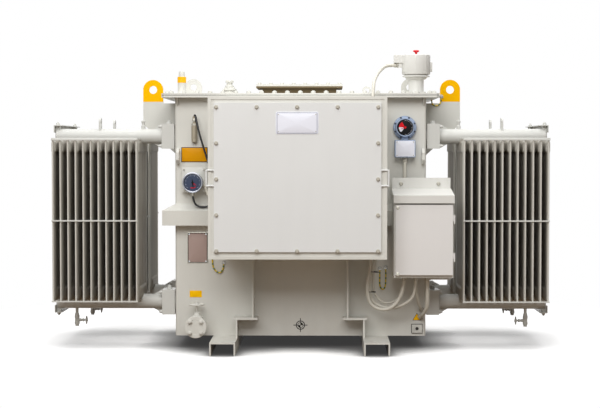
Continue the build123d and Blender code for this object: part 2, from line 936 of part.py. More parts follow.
def temperature_gauge():
    """The dial thermometer: bracket plate on two rails, case, bezel and bottom fitting."""
    x = -half_length + thermometer_end_inset
    z = tank_rim - thermometer_drop
    plate_back = -half_width - thermometer_plate_standoff
    plate_front = plate_back - thermometer_plate_thickness
    half = thermometer_plate_width / 2
    x0 = x + thermometer_plate_shift - half
    x1 = x0 + thermometer_plate_width
    z0 = z - thermometer_plate_drop
    z1 = z0 + thermometer_plate_height
    gauge = block(x0, x1, plate_front, plate_back, z0, z1)
    inset = thermometer_rail_inset
    for low in (z0 + inset, z1 - inset - thermometer_rail_height):
        gauge += block(x0 + inset, x1 - inset, plate_back, -half_width, low,
                       low + thermometer_rail_height)
    forward = (0, -1, 0)
    gauge += prism((x, plate_front, z), forward, thermometer_case_radius, thermometer_depth, dial_sides)
    front = plate_front - thermometer_depth
    gauge += prism((x, front + thermometer_bezel_depth, z), forward, thermometer_bezel_radius,
                   thermometer_bezel_depth, dial_sides)
    gauge -= prism((x, front + thermometer_glass_recess, z), forward, thermometer_glass_radius,
                   thermometer_bezel_depth, dial_sides)
    middle = plate_front - thermometer_depth / 2
    return gauge + prism((x, middle, z), (0, 0, -1), thermometer_fitting_radius,
                         thermometer_case_radius + thermometer_fitting_length, small_sides)


def level_gauge():
    """The oil level gauge: bolted flange, dial housing and terminal box below."""
    x = half_length - level_end_inset
    z = tank_rim - level_drop
    forward = (0, -1, 0)
    gauge = prism((x, -half_width, z), forward, level_flange_radius, level_flange_depth, dial_sides)
    gauge += prism((x, -half_width, z), forward, level_dial_radius, level_dial_depth, dial_sides)
    front = -half_width - level_dial_depth
    gauge -= prism((x, front + level_glass_recess, z), forward, level_glass_radius,
                   level_dial_depth, dial_sides)
    half = level_box_width / 2
    z0 = z - level_box_drop
    z1 = z0 + level_box_height
    gauge += block(x - half, x + half, -half_width - level_box_depth, -half_width, z0, z1)
    half = level_link_width / 2
    return gauge + block(x - half, x + half, -half_width - level_link_depth, -half_width, z1,
                         z - level_dial_radius)


def control_box_body():
    """The open control box, hung by its back panel from rails on the tank wall."""
    x0 = control_left
    x1 = control_right
    z0 = control_bottom
    wall = control_wall
    front = control_front + wall
    body = block(x0, x1, front, control_back, z0, control_top)
    body -= block(x0 + wall, x1 - wall, front, control_back - wall, z0 + wall, control_top - wall)
    body += block(x0, x1, control_back - wall, control_back, control_top, control_flange_top)
    body += block(x0, x1, control_back - wall, control_back, z0 - control_foot_drop, z0)
    body -= slot_cut(x0 + control_slot_left_inset)
    return body - slot_cut(x1 - control_slot_right_inset)


def slot_cut(x):
    """The upright tool for one fixing slot in the back panel."""
    half = control_slot_length / 2
    cut = control_slot_width / 4
    side = control_slot_width / 2
    z = control_flange_top - control_slot_drop
    outline = [
        (x - half, z - side + cut), (x - half + cut, z - side), (x + half - cut, z - side),
        (x + half, z - side + cut), (x + half, z + side - cut), (x + half - cut, z + side),
        (x - half + cut, z + side), (x - half, z + side - cut),
    ]
    return plate_xz(outline, control_back - 2 * control_wall, control_back + control_wall)


def control_box_frame():
    """The frame round the mouth of the control box, with the fixed hinge knuckles."""
    x0 = control_left
    x1 = control_right
    back = control_front + control_wall
    frame = block(x0, x1, control_front, back, control_bottom, control_top)
    frame -= block(x0 + control_frame_width, x1 - control_frame_width, control_front, back,
                   control_bottom + control_frame_bottom, control_top - control_frame_top)
    for level in hinge_levels():
        frame += fixed_knuckle(level)
    return frame


def control_box_rails():
    """The two rails that carry the control box, each on two legs from the tank wall."""
    rails = []
    middle = (control_top + control_flange_top) / 2
    foot = control_bottom - control_foot_drop
    x0 = control_left + control_rail_inset
    legs = (x0, half_length - tank_corner_cut - control_rail_thickness)
    for z0 in (middle - control_rail_height / 2, foot):
        z1 = z0 + control_rail_height
        back = control_back + control_rail_thickness
        rail = block(x0, control_right - hinge_offset, control_back, back, z0, z1)
        for leg in legs:
            rail += block(leg, leg + control_rail_thickness, control_back, -half_width, z0, z1)
        rails.append(rail)
    return Compound(rails)


def hinge_levels():
    """The middles of the two door hinges."""
    return door_bottom + hinge_low_inset, door_top - hinge_high_inset


def hinge_axis():
    """X and Y of the door's hinge pins, beside the box and level with the door."""
    x = control_right + hinge_offset
    return x, control_front - control_door_gap - control_door_thickness / 2


def fixed_knuckle(level):
    """The lower knuckle of a door hinge, with its pin."""
    x, y = hinge_axis()
    third = hinge_length / 3
    z0 = level - hinge_length / 2
    knuckle = prism((x, y, z0), (0, 0, 1), hinge_radius, third, knuckle_sides)
    knuckle += block(x - hinge_radius, x - hinge_radius + hinge_leaf_thickness, y,
                     control_front + control_wall, z0, z0 + third)
    pin_length = hinge_length - third / 2
    return knuckle + bar((x, y, z0), (0, 0, 1), hinge_pin_radius, pin_length)


def control_box_door():
    """The pressed door, with folded edges and the upper hinge knuckles."""
    front = control_front - control_door_gap
    outer = front - control_door_thickness
    x0 = control_left + control_door_left_margin
    x1 = control_right - control_door_right_margin
    sheet = control_door_sheet
    door = block(x0, x1, outer, front, door_bottom, door_top)
    door -= block(x0 + sheet, x1 - sheet, outer + sheet, front, door_bottom + sheet, door_top - sheet)
    x, y = hinge_axis()
    third = hinge_length / 3
    half = hinge_leaf_thickness / 2
    for level in hinge_levels():
        low = level - hinge_length / 2 + third + hinge_clearance
        door += prism((x, y, low), (0, 0, 1), hinge_radius, 2 * third, knuckle_sides)
        door += block(x1 - sheet, x, y - half, y + half, low, low + 2 * third)
        door -= bar((x, y, low), (0, 0, 1), hinge_pin_radius + hinge_clearance, 2 * third)
    return door


def control_box_hood():
    """The sloped rain hood over the control box, with its folded front lip."""
    nose = control_front - hood_overhang
    sheet = hood_thickness
    back = control_back - control_wall
    front_height = control_top + hood_thickness
    outline = [
        (back, control_top),
        (back, front_height + hood_rise),
        (nose, front_height),
        (nose, control_top - hood_lip_drop),
        (nose + sheet, control_top - hood_lip_drop),
        (nose + sheet, control_top),
    ]
    return plate_yz(outline, control_left - hood_side_overhang, control_right + hood_side_overhang)


def main_drain_place():
    """The middle of the drain valve's body."""
    y = -half_width - (main_drain_length - main_drain_flange_thickness) / 2
    return -half_length + main_drain_end_inset, y, main_drain_height


def main_drain_valve():
    """The drain valve low on the front wall, with its blank flange and bonnet."""
    x, y, z = main_drain_place()
    valve = prism((x, -half_width, z), (0, -1, 0), main_drain_pipe_radius, main_drain_length,
                  wheel_sides)
    thick = 2 * main_drain_flange_thickness
    flange_y = -half_width - main_drain_length + main_drain_flange_thickness / 2 + thick / 2
    valve += prism((x, flange_y, z), (0, -1, 0), main_drain_flange_radius, thick, dial_sides)
    half = main_drain_body_size / 2
    side = main_drain_body_length / 2
    valve += block(x - half, x + half, y - side, y + side, z - half, z + half)
    return valve + prism((x, y, z), (0, 0, 1), main_drain_bonnet_radius, main_drain_bonnet_rise,
                         small_sides)


def main_drain_wheel():
    """The hand wheel of the drain valve, with its spindle."""
    x, y, z = main_drain_place()
    wheel = hand_wheel(main_drain_wheel_radius, main_drain_wheel_rim, main_drain_hub_radius,
                       main_drain_hub_length, main_drain_wheel_arm)
    length = main_drain_wheel_rise - main_drain_bonnet_rise - seat_gap
    wheel += prism((0, 0, 0), (0, 0, -1), main_drain_spindle_radius, length, small_sides)
    return Pos(x, y, z + main_drain_wheel_rise) * wheel


def earth_pad():
    """The earthing pad with its bolt hole, low on the front wall."""
    x = half_length - earth_pad_end_inset
    z = earth_pad_height_above_ground
    half = earth_pad_width / 2
    tall = earth_pad_height / 2
    front = -half_width - earth_pad_thickness
    pad = block(x - half, x + half, front, -half_width, z - tall, z + tall)
    return pad - bar((x, front, z), (0, 1, 0), earth_hole_radius, earth_pad_thickness)


def cord_tube(points, radius, sides):
    """A cord of few sides: straight runs joined by the largest arcs that they allow."""
    radii = []
    for before, corner, after in zip(points, points[1:], points[2:]):
        arrive = Vector(*corner) - Vector(*before)
        leave = Vector(*after) - Vector(*corner)
        half_turn = math.radians(arrive.get_angle(leave)) / 2
        shorter = min(arrive.length, leave.length)
        radii.append(arc_share * shorter / math.tan(half_turn))
    print("arc radii of a cord:", [round(size) for size in radii])
    path = FilletPolyline(*points, radius=radii)
    section = Plane(origin=path @ 0, z_dir=path % 0) * RegularPolygon(radius, sides)
    return sweep(section, path=path)


def conduit(points, radius):
    """A conduit with a gland nut where it leaves one piece and where it enters the next."""
    tube = cord_tube(points, radius, wire_sides)
    for start, onward in ((points[0], points[1]), (points[-1], points[-2])):
        direction = (Vector(*onward) - Vector(*start)).normalized()
        tube += prism(start, direction, radius + gland_wall, gland_length, small_sides)
    return tube


def control_conduits():
    """The conduits that hang under the control box, from the cable box and the tank wall."""
    top = box_body_bottom
    end = control_bottom
    wall = -half_width
    first = [(424, -575, top), (424, -575, 530), (390, -579, 385), (413, -584, 264),
             (530, -590, 240), (611, -600, 350), (611, -600, end)]
    second = [(441, -545, top), (441, -545, 525), (404, -546, 385), (424, -549, 282),
              (540, -556, 246), (652, -582, 296), (680, -602, 370), (680, -602, end)]
    third = [(455, -522, top), (455, -522, 545), (436, -522, 455), (430, -523, 350),
             (492, -528, 272), (585, -540, 300), (610, -548, 375), (610, -548, end)]
    fourth = [(680, -556, end), (680, -556, 385), (700, -510, 285), (724, -465, 236),
              (724, wall, 236)]
    fifth = [(749, -600, end), (749, -600, 370), (752, -565, 255), (720, -480, 192),
             (720, wall, 192)]
    return [
        conduit(first, first_conduit_radius),
        conduit(second, second_conduit_radius),
        conduit(third, third_conduit_radius),
        conduit(fourth, fourth_conduit_radius),
        conduit(fifth, fifth_conduit_radius),
    ]


def relief_conduit():
    """The conduit from the relief valve's switch box, over the cover, to the cable box."""
    x, y = relief_place()
    x -= relief_hood_radius + relief_elbow_length
    z = relief_hood_top() - relief_switch_height - relief_elbow_height / 2
    points = [(x, y, z), (545, y, z), (500, -360, 1690), (450, -490, 1628),
              (432, -600, 1560), (432, -600, box_body_top)]
    return conduit(points, relief_conduit_radius)


def level_conduit():
    """The conduit from the level gauge's terminal box down into the back of the control box."""
    x = half_length - level_end_inset
    start = tank_rim - level_drop - level_box_drop
    middle = -half_width - level_box_depth / 2
    points = [(x, middle, start), (x, middle, 945), (x, -473, 917), (x, -486, 906),
              (x, control_back, 906)]
    return conduit(points, level_conduit_radius)


def thermometer_conduit():
    """The conduit from the dial thermometer to the side of the cable box."""
    x = -half_length + thermometer_end_inset
    y = -half_width - thermometer_plate_standoff - thermometer_plate_thickness - thermometer_depth / 2
    z = tank_rim - thermometer_drop
    angle = math.radians(thermometer_gland_angle)
    rim = thermometer_case_radius
    out = rim + gland_length + gland_wall
    side = lv_box_centre - lv_box_width / 2 + box_flange
    points = [(x + rim * math.cos(angle), y, z + rim * math.sin(angle)),
              (x + out * math.cos(angle), y, z + out * math.sin(angle)),
              (-554, -493, 934), (-537, -497, 896), (-510, -500, 874), (side, -500, 874)]
    return conduit(points, thermometer_conduit_radius)


def thermometer_capillary():
    """The capillary from the pocket, behind the cable box flange, to the dial's bottom fitting."""
    pocket_x = -half_length + pocket_end_inset
    pocket_y = -half_width - pocket_standoff
    dial_x = -half_length + thermometer_end_inset
    dial_y = -half_width - thermometer_plate_standoff - thermometer_plate_thickness
    dial_y -= thermometer_depth / 2
    fitting = tank_rim - thermometer_drop - thermometer_case_radius - thermometer_fitting_length
    points = [(pocket_x, pocket_y, pocket_top()), (pocket_x, pocket_y, 1409), (-625, -457, 1418),
              (-615, -468, 1408), (-609, -474, 1372), (-592, -482, 1290), (-557, -484, 1190),
              (-531, -479, 1085), (-529, -476, 965), (-545, -480, 880), (-585, -488, 848),
              (dial_x, dial_y, 872), (dial_x, dial_y, fitting)]
    return cord_tube(points, capillary_radius, wire_sides)


def earth_jumper(points, bosses):
    """A short earth cable with a bolting boss at each end that is bolted to a face."""
    jumper = cord_tube(points, jumper_radius, wire_sides)
    for x, face, z in bosses:
        jumper += prism((x, face, z), (0, -1, 0), jumper_boss_radius, jumper_boss_depth, small_sides)
    return jumper


def earth_jumpers():
    """The two jumpers on the front wall, and the one between the cover rim and its lug."""
    wall = -half_width
    y = wall - jumper_boss_depth / 2
    right = [(476, y, 478), (474, y, 418), (476, y, 362), (503, y, 350), (513, y, 410),
             (510, y, 484)]
    across = [(-527, y, 590), (-529, y, 538), (-524, y, 478), (-485, y, 446), (-461, y, 474),
              (-460, y, 512)]
    lug_face = -lug_thickness / 2
    y = lug_face - jumper_boss_depth / 2
    rim = [(872, y, 1520), (871, y, 1490), (859, y, 1467), (834, y, 1461), (812, y, 1474),
           (812, y, tank_rim)]
    return [
        earth_jumper(right, [(476, wall, 478), (510, wall, 484)]),
        earth_jumper(across, [(-527, wall, 590), (-460, wall, 512)]),
        earth_jumper(rim, [(872, lug_face, 1520)]),
    ]


def save_structure():
    """The base, the tank, its rim and what is welded to its walls."""
    channel = base_channel()
    save(channel, "base_channel_right")
    save(left(channel), "base_channel_left")
    save(tank_solid(tank_bottom, cover_bottom), "tank_body")
    save(rim_flange(), "tank_flange")
    save(rim_ring(gasket_inset, gasket_bottom, cover_bottom), "cover_gasket")
    save(tank_cover(), "tank_cover")
    lv_right = lv_box_centre + lv_box_width / 2 - box_flange
    lv_left = -lv_box_centre + lv_box_width / 2 - box_flange
    hv_side = hv_box_width / 2 - box_flange
    save(belt_half(lv_right, hv_side), "stiffener_belt_right")
    save(left(belt_half(lv_left, hv_side)), "stiffener_belt_left")
    bracket = jacking_bracket(box_bottom)
    for name, shape in (("front", bracket), ("rear", rear(bracket))):
        save(Compound([shape, left(shape)]), f"jacking_brackets_{name}")
    lug = lifting_lug()
    save(lug, "lifting_lug_right")
    save(left(lug), "lifting_lug_left")
    ring = cover_lug()
    save(Compound([ring, left(ring), eye_bolt()]), "cover_lugs")
    plate = lashing_lug()
    pair = [plate, left(plate)]
    save(Compound(pair + [rear(shape) for shape in pair]), "lashing_lugs")
    save(earth_pad(), "earth_pad")


def save_radiators():
    """Four radiators, made once and mirrored."""
    panels = radiator_panels()
    headers = [bottom_header(), top_header()]
    wheel = drain_wheel()
    sides = (("right", lambda shape: shape), ("left", left))
    ends = (("front", lambda shape: shape), ("rear", rear))
    for side, turn_x in sides:
        valves = []
        bars = []
        for end, turn_y in ends:
            save(turn_x(turn_y(panels)), f"radiator_panels_{end}_{side}")
            moved = [turn_x(turn_y(header)) for header in headers]
            save(Compound(moved), f"radiator_headers_{end}_{side}")
            save(turn_x(turn_y(wheel)), f"radiator_drain_wheel_{end}_{side}")
            valves += [turn_x(turn_y(radiator_valve(level))) for level in header_levels]
            bars += [turn_x(turn_y(shape)) for shape in tie_bars()]
        save(Compound(valves), f"radiator_valves_{side}")
        save(Compound(bars), f"radiator_tie_bars_{side}")
        braces = [radiator_brace(header_levels[0], -1), radiator_brace(header_levels[1], 1)]
        save(Compound([turn_x(shape) for shape in braces]), f"radiator_braces_{side}")


def save_boxes():
    """The two cable boxes and the control box."""
    save(cable_box(lv_box_centre, lv_box_width), "lv_cable_box")
    save(cable_box_cover(lv_box_centre, lv_box_width), "lv_box_cover")
    save(rear(cable_box(0, hv_box_width)), "hv_cable_box")
    save(rear(cable_box_cover(0, hv_box_width)), "hv_box_cover")
    save(control_box_body(), "control_box_body")
    save(control_box_frame(), "control_box_frame")
    save(control_box_door(), "control_box_door")
    save(control_box_hood(), "control_box_hood")
    save(control_box_rails(), "control_box_rails")


def save_fittings():
    """What stands on the cover and on the front wall."""
    save(inspection_neck(), "inspection_neck")
    save(inspection_plate(), "inspection_plate")
    save(relief_valve(), "relief_valve")
    save(filling_pipe(), "oil_filling_pipe")
    save(filler_fitting(), "filler_fitting")
    save(thermometer_pocket(), "thermometer_pocket")
    save(temperature_gauge(), "temperature_gauge")
    save(level_gauge(), "oil_level_gauge")
    save(main_drain_valve(), "main_drain_valve")
    save(main_drain_wheel(), "main_drain_wheel")


def save_cords():
    """The conduits, the capillary and the earth jumpers, each held at both ends."""
    hanging = control_conduits()
    save(Compound(hanging + [relief_conduit(), level_conduit(), thermometer_conduit()]), "conduits")
    save(thermometer_capillary(), "thermometer_capillary")
    save(Compound(earth_jumpers()), "earth_jumpers")


os.makedirs("parts", exist_ok=True)
save_structure()
save_radiators()
save_boxes()
save_fittings()
save_cords()
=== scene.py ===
"""The finished look of an oil-filled power transformer with cable boxes and panel radiators."""
import functools
import math

import bmesh
import bpy
import numpy as np
from mathutils import Matrix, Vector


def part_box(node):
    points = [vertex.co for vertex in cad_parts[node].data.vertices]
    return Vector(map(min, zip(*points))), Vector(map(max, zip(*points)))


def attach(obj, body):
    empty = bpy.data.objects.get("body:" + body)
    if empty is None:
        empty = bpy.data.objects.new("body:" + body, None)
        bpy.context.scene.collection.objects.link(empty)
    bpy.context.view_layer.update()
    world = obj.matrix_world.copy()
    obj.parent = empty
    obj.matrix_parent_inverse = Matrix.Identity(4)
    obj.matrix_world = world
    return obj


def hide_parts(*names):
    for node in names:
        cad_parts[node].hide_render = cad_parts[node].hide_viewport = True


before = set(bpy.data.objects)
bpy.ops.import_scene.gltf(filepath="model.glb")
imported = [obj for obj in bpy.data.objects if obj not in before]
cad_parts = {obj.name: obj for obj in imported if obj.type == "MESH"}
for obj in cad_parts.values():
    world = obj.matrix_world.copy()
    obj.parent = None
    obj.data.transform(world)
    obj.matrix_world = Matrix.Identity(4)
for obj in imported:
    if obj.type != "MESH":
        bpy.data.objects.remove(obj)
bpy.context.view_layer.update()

BODY = "transformer"
FRONT = (0.0, -1.0, 0.0)
BACK = (0.0, 1.0, 0.0)
RIGHT = (1.0, 0.0, 0.0)
LEFT = (-1.0, 0.0, 0.0)
UP = (0.0, 0.0, 1.0)
DOWN = (0.0, 0.0, -1.0)

# Places read from the frame, in metres
LOW, HIGH = 0, 1
RIM_DEPTH = 0.015
cover = np.array(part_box("tank_cover"))
tank = np.array(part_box("tank_body"))
lv_cover = np.array(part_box("lv_box_cover"))
hv_cover = np.array(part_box("hv_box_cover"))
hatch = np.array(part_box("inspection_plate"))
door = np.array(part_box("control_box_door"))
control = np.array(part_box("control_box_body"))
cover_top = cover[HIGH][2]
rim_bottom = cover[LOW][2] - RIM_DEPTH
wall_front = tank[LOW][1]


def srgb(red, green, blue):
    """A colour of a screen, 0 to 255, as the linear colour of a surface."""
    levels = np.array((red, green, blue)) / 255.0
    linear = np.where(levels <= 0.04045, levels / 12.92, ((levels + 0.055) / 1.055) ** 2.4)
    return (*linear.tolist(), 1.0)


def scaled(colour, factor, lift=0.0):
    """A colour made darker or lighter, up to white."""
    return tuple(min(1.0, level * factor + lift) for level in colour[:3]) + (1.0,)


def operator(operation, reflected=False):
    """A method of a signal that adds one Math node, with its sides changed over where reflected."""
    def method(self, other):
        return self.finish.math(operation, *((other, self) if reflected else (self, other)))
    return method


class Signal:
    """A value on its way through a finish, which is added, scaled and compared like a number."""

    def __init__(self, finish, socket):
        self.finish = finish
        self.socket = socket

    __add__ = operator("ADD")
    __radd__ = operator("ADD", reflected=True)
    __sub__ = operator("SUBTRACT")
    __rsub__ = operator("SUBTRACT", reflected=True)
    __mul__ = operator("MULTIPLY")
    __rmul__ = operator("MULTIPLY", reflected=True)
    __truediv__ = operator("DIVIDE")
    __rtruediv__ = operator("DIVIDE", reflected=True)
    __gt__ = operator("GREATER_THAN")
    __lt__ = operator("LESS_THAN")


class Finish:
    """One finish, built up from nodes that read the place on the object."""

    def __init__(self, name, holder=None):
        self.material = holder or bpy.data.materials.new(name)
        self.material.use_nodes = True
        self.tree = self.material.node_tree
        self.tree.nodes.clear()

    @functools.cached_property
    def place(self):
        """The place on the object, in metres."""
        return self.add("ShaderNodeTexCoord").outputs["Object"]

    @functools.cached_property
    def axes(self):
        """The place's X, Y and Z."""
        parts = self.add("ShaderNodeSeparateXYZ", inputs={0: self.place})
        return [Signal(self, parts.outputs[index]) for index in range(3)]

    def add(self, kind, settings=None, inputs=None):
        """One node: its settings first, then the values or links of its sockets."""
        node = self.tree.nodes.new(kind)
        for key, value in (settings or {}).items():
            setattr(node, key, value)
        for key, value in (inputs or {}).items():
            if isinstance(value, Signal):
                value = value.socket
            if isinstance(value, bpy.types.NodeSocket):
                self.tree.links.new(value, node.inputs[key])
            else:
                node.inputs[key].default_value = value
        return node

    def math(self, operation, *values):
        """One step of arithmetic on values."""
        node = self.add("ShaderNodeMath", {"operation": operation}, dict(enumerate(values)))
        return Signal(self, node.outputs[0])

    def clamp(self, value):
        """A value held between 0 and 1."""
        node = self.add("ShaderNodeMath", {"operation": "ADD", "use_clamp": True}, {0: value, 1: 0.0})
        return Signal(self, node.outputs[0])

    def noise(self, scale, detail=3.0, stretch=(1.0, 1.0, 1.0)):
        """Cloudy noise over the object, of so many clouds a metre."""
        mapping = self.add("ShaderNodeMapping", inputs={"Vector": self.place, "Scale": stretch})
        node = self.add("ShaderNodeTexNoise", inputs={
            "Vector": mapping.outputs[0], "Scale": scale, "Detail": detail, "Roughness": 0.55})
        return Signal(self, node.outputs[0])

    def along(self):
        """The distance along a cord, in metres."""
        node = self.add("ShaderNodeAttribute", {"attribute_name": "along"})
        return Signal(self, node.outputs["Fac"])

    def mix(self, factor, first, second):
        """One colour over another."""
        node = self.add("ShaderNodeMix", {"data_type": "RGBA"}, {0: factor, 6: first, 7: second})
        return node.outputs[2]

    def bump(self, height, strength, depth):
        """The normal of a surface that rises by depth, in metres, where height is 1."""
        inputs = {"Strength": strength, "Distance": depth, "Height": height}
        return self.add("ShaderNodeBump", inputs=inputs).outputs[0]

    def seen(self):
        """1 where the camera, a reflection or glass looks, 0 where light is gathered."""
        path = self.add("ShaderNodeLightPath")
        seen = Signal(self, path.outputs["Is Camera Ray"])
        for ray in ("Is Glossy Ray", "Is Transmission Ray"):
            seen = self.math("MAXIMUM", seen, Signal(self, path.outputs[ray]))
        return seen

    def surface(self, **sockets):
        """The finished surface, from a principled shader with these sockets."""
        inputs = {name.replace("_", " ").title(): value for name, value in sockets.items()}
        if "Ior" in inputs:
            inputs["IOR"] = inputs.pop("Ior")
        shader = self.add("ShaderNodeBsdfPrincipled", inputs=inputs)
        self.add("ShaderNodeOutputMaterial", inputs={"Surface": shader.outputs[0]})
        return self.material


def paint(name, colour, roughness=0.42, tone=0.05, dust=0.25, bands=(), painted_shade=0.0, ior=1.32):
    """Sprayed paint: faint clouds of tone, orange peel, pale rubs and dust that gathers low down.
    Each band is a lower level, an upper level and the colour painted between them. The argument before ior
    gives the share of painted shade: dark brown paint deep between the radiator panels, where shade falls."""
    finish = Finish(name)
    clouds = finish.noise(2.6)
    runs = finish.noise(5.0, stretch=(3.0, 3.0, 0.35))
    peel = finish.noise(260.0, detail=1.0)
    specks = finish.noise(900.0, detail=0.0)
    shade = scaled(colour, 1.0 - 2.2 * tone)
    light = scaled(colour, 1.0 + tone)
    tint = finish.mix(finish.clamp(clouds * 0.7 + runs * 0.5 - 0.1), shade, light)
    x, y, z = finish.axes
    for low, high, band in bands:
        inside = (z > low) * (z < high)
        tint = finish.mix(inside, tint, band)
    # Painted shade: dark brown paint deep between the radiator panels, where shade falls. It fades out
    # towards the panels' front and back edges and is kept off the end panels' outer faces.
    if painted_shade:
        from_middle = finish.math("ABSOLUTE", finish.math("ABSOLUTE", y) - PANEL_MIDDLE)
        from_end = finish.math("ABSOLUTE", x)
        deep = finish.clamp((PANEL_REACH - SHADE_MARGIN - from_middle) / SHADE_FADE) \
            * (from_end < PANEL_OUTSIDE)
        deep = deep * finish.clamp(clouds * 0.5 + 0.75) * painted_shade
        tint = finish.mix(deep, tint, srgb(94, 78, 56))
    low_dust = finish.clamp(1.0 - z / DUST_HEIGHT) * finish.clamp(finish.noise(9.0) * 2.4 - 0.8) * dust
    tint = finish.mix(low_dust, tint, srgb(168, 155, 134))
    fleck = finish.clamp((specks - 0.68) * 9.0) * 0.1
    tint = finish.mix(fleck, tint, srgb(120, 112, 98))
    return finish.surface(
        base_color=tint,
        roughness=finish.clamp(clouds * 0.16 + runs * 0.08 + (roughness - 0.12)),
        normal=finish.bump(peel, 0.12, 0.0006),
        coat_weight=finish.clamp(clouds * 0.12) if ior > LOW_IOR else 0.0, ior=ior)


def metal(name, colour, roughness=0.3, grain=400.0, worn=0.15, shine=1.0):
    """Cast, turned or plated metal, with fine grain and dull patches."""
    finish = Finish(name)
    clouds = finish.noise(24.0)
    grains = finish.noise(grain, detail=2.0)
    dark = scaled(colour, 0.72)
    tint = finish.mix(finish.clamp(clouds * 1.6 - 0.5), dark, colour)
    return finish.surface(
        base_color=tint, metallic=shine,
        roughness=finish.clamp(clouds * worn + grains * 0.12 + roughness - 0.1),
        normal=finish.bump(grains, 0.25, 0.0003))


def plastic(name, colour, roughness=0.45, ribs=0.0, shade=0.75):
    """Moulded plastic or rubber; ribs is the spacing of the rings along a corrugated cord."""
    finish = Finish(name)
    clouds = finish.noise(14.0)
    grain = finish.noise(700.0, detail=1.0)
    dark = scaled(colour, shade)
    height = grain * 0.3
    if ribs:
        height = height + finish.math("SINE", finish.along() * (2 * math.pi / ribs)) * 0.7
    return finish.surface(
        base_color=finish.mix(clouds, dark, colour),
        roughness=finish.clamp(grain * 0.1 + clouds * 0.1 + roughness - 0.1),
        normal=finish.bump(height, 0.5 if ribs else 0.2, 0.0005))


def printed(name, colour, roughness=0.35, stain=0.12):
    """An enamelled or printed plate, a little uneven and rubbed."""
    finish = Finish(name)
    clouds = finish.noise(30.0)
    scratches = finish.noise(160.0, stretch=(1.0, 1.0, 9.0))
    rubbed = scaled(colour, 0.78, 0.05)
    wear = finish.clamp((scratches - 0.62) * 6.0) * 0.35 + clouds * stain
    return finish.surface(
        base_color=finish.mix(finish.clamp(wear), colour, rubbed),
        roughness=finish.clamp(clouds * 0.2 + roughness - 0.08),
        normal=finish.bump(clouds, 0.1, 0.0003), ior=PRINT_IOR)


def earth_wire(name):
    """Yellow insulation with a green stripe that winds along the wire."""
    finish = Finish(name)
    turn = finish.math("FRACT", finish.along() / 0.03)
    grain = finish.noise(500.0, detail=1.0)
    tint = finish.mix(turn > 0.62, srgb(222, 188, 20), srgb(52, 96, 40))
    tint = finish.mix(grain * 0.25, tint, srgb(90, 80, 30))
    return finish.surface(base_color=tint, roughness=finish.clamp(grain * 0.2 + 0.35),
                          normal=finish.bump(grain, 0.2, 0.0003))


# Light: the sky's level, the floor's bounce, its soft shadow under the object, the haze that
# pales it and where it fades to white, and each lamp's place, target, width, height and power
SKY_LEVEL = 0.38
FLOOR_REACH = 60.0
FLOOR_BELOW = -0.001
FLOOR_BOUNCE = (0.18, 0.112, 0.056, 1.0)
CONTACT_REACH = 0.28
CONTACT_LEAST = 0.1
FLOOR_HAZE = 0.4
FADE_START = 1.3
FADE_LENGTH = 1.6
LAMPS = (("lamp_front", (-1.0, -6.8, 5.3), (0.0, 0.0, 0.8), 7.0, 4.0, 500.0),
         ("lamp_above", (0.0, -0.6, 6.0), (0.0, -0.2, 0.0), 6.0, 4.0, 230.0),
         ("lamp_back", (1.0, 7.4, 4.4), (0.0, 0.0, 0.8), 7.0, 4.0, 170.0))

# The radiator panels' middle, reach from it in Y and outer limit in X, for the painted shade deep between
# the panels
PANEL_MIDDLE = 0.3175
PANEL_REACH = 0.26
PANEL_OUTSIDE = 1.4615
SHADE_MARGIN = 0.012
SHADE_FADE = 0.09
DUST_HEIGHT = 0.3

# Refraction, lowest for paint that must not mirror the white surround at a glance
PANEL_IOR = 1.06
LOW_IOR = 1.12
PRINT_IOR = 1.22

# Levels of the colour bands
LUG_PAINT_LINE = 1.4885
CAP_BAND = (1.592, 1.628)
grey = srgb(215, 214, 207)
yellow = srgb(250, 186, 0)
grey_paint = paint("grey_paint", grey)
radiator_paint = paint("radiator_paint", srgb(208, 208, 203), tone=0.05)
# Panel paint with painted shade: dark brown deep between the radiator panels.
panel_paint = paint("panel_paint", srgb(211, 209, 201), tone=0.05, painted_shade=0.55, ior=PANEL_IOR)
# Dark brown paint on the inspection neck: painted shade for the shade under the overhanging inspection
# plate.
neck_shade_paint = paint("neck_painted_shade", srgb(118, 104, 80), roughness=0.6, ior=PANEL_IOR)
pale_paint = paint("pale_powder_coat", srgb(217, 216, 211), roughness=0.5, tone=0.03)
door_paint = paint("door_powder_coat", srgb(224, 222, 220), roughness=0.5, tone=0.02)
cover_paint = paint("smooth_cover_paint", srgb(220, 221, 220), roughness=0.48, tone=0.02, dust=0.1)
bolt_paint = paint("bolt_paint", srgb(186, 182, 170), roughness=0.4, tone=0.06)
lug_paint = paint("lug_paint", grey, bands=((LUG_PAINT_LINE, 2.0, yellow),), ior=LOW_IOR)
pipe_paint = paint("filling_pipe_paint", grey, bands=((*CAP_BAND, yellow),))
gasket_rubber = plastic("gasket_rubber", srgb(38, 37, 36), roughness=0.7)
cast_metal = metal("cast_gauge_metal", srgb(160, 176, 202), roughness=0.42, shine=0.35)
chrome = metal("polished_bezel", srgb(226, 226, 224), roughness=0.16, worn=0.08)
dark_steel = metal("blackened_steel", srgb(74, 80, 94), roughness=0.45, shine=0.6)
bare_steel = metal("bare_steel", srgb(168, 164, 156), roughness=0.4)
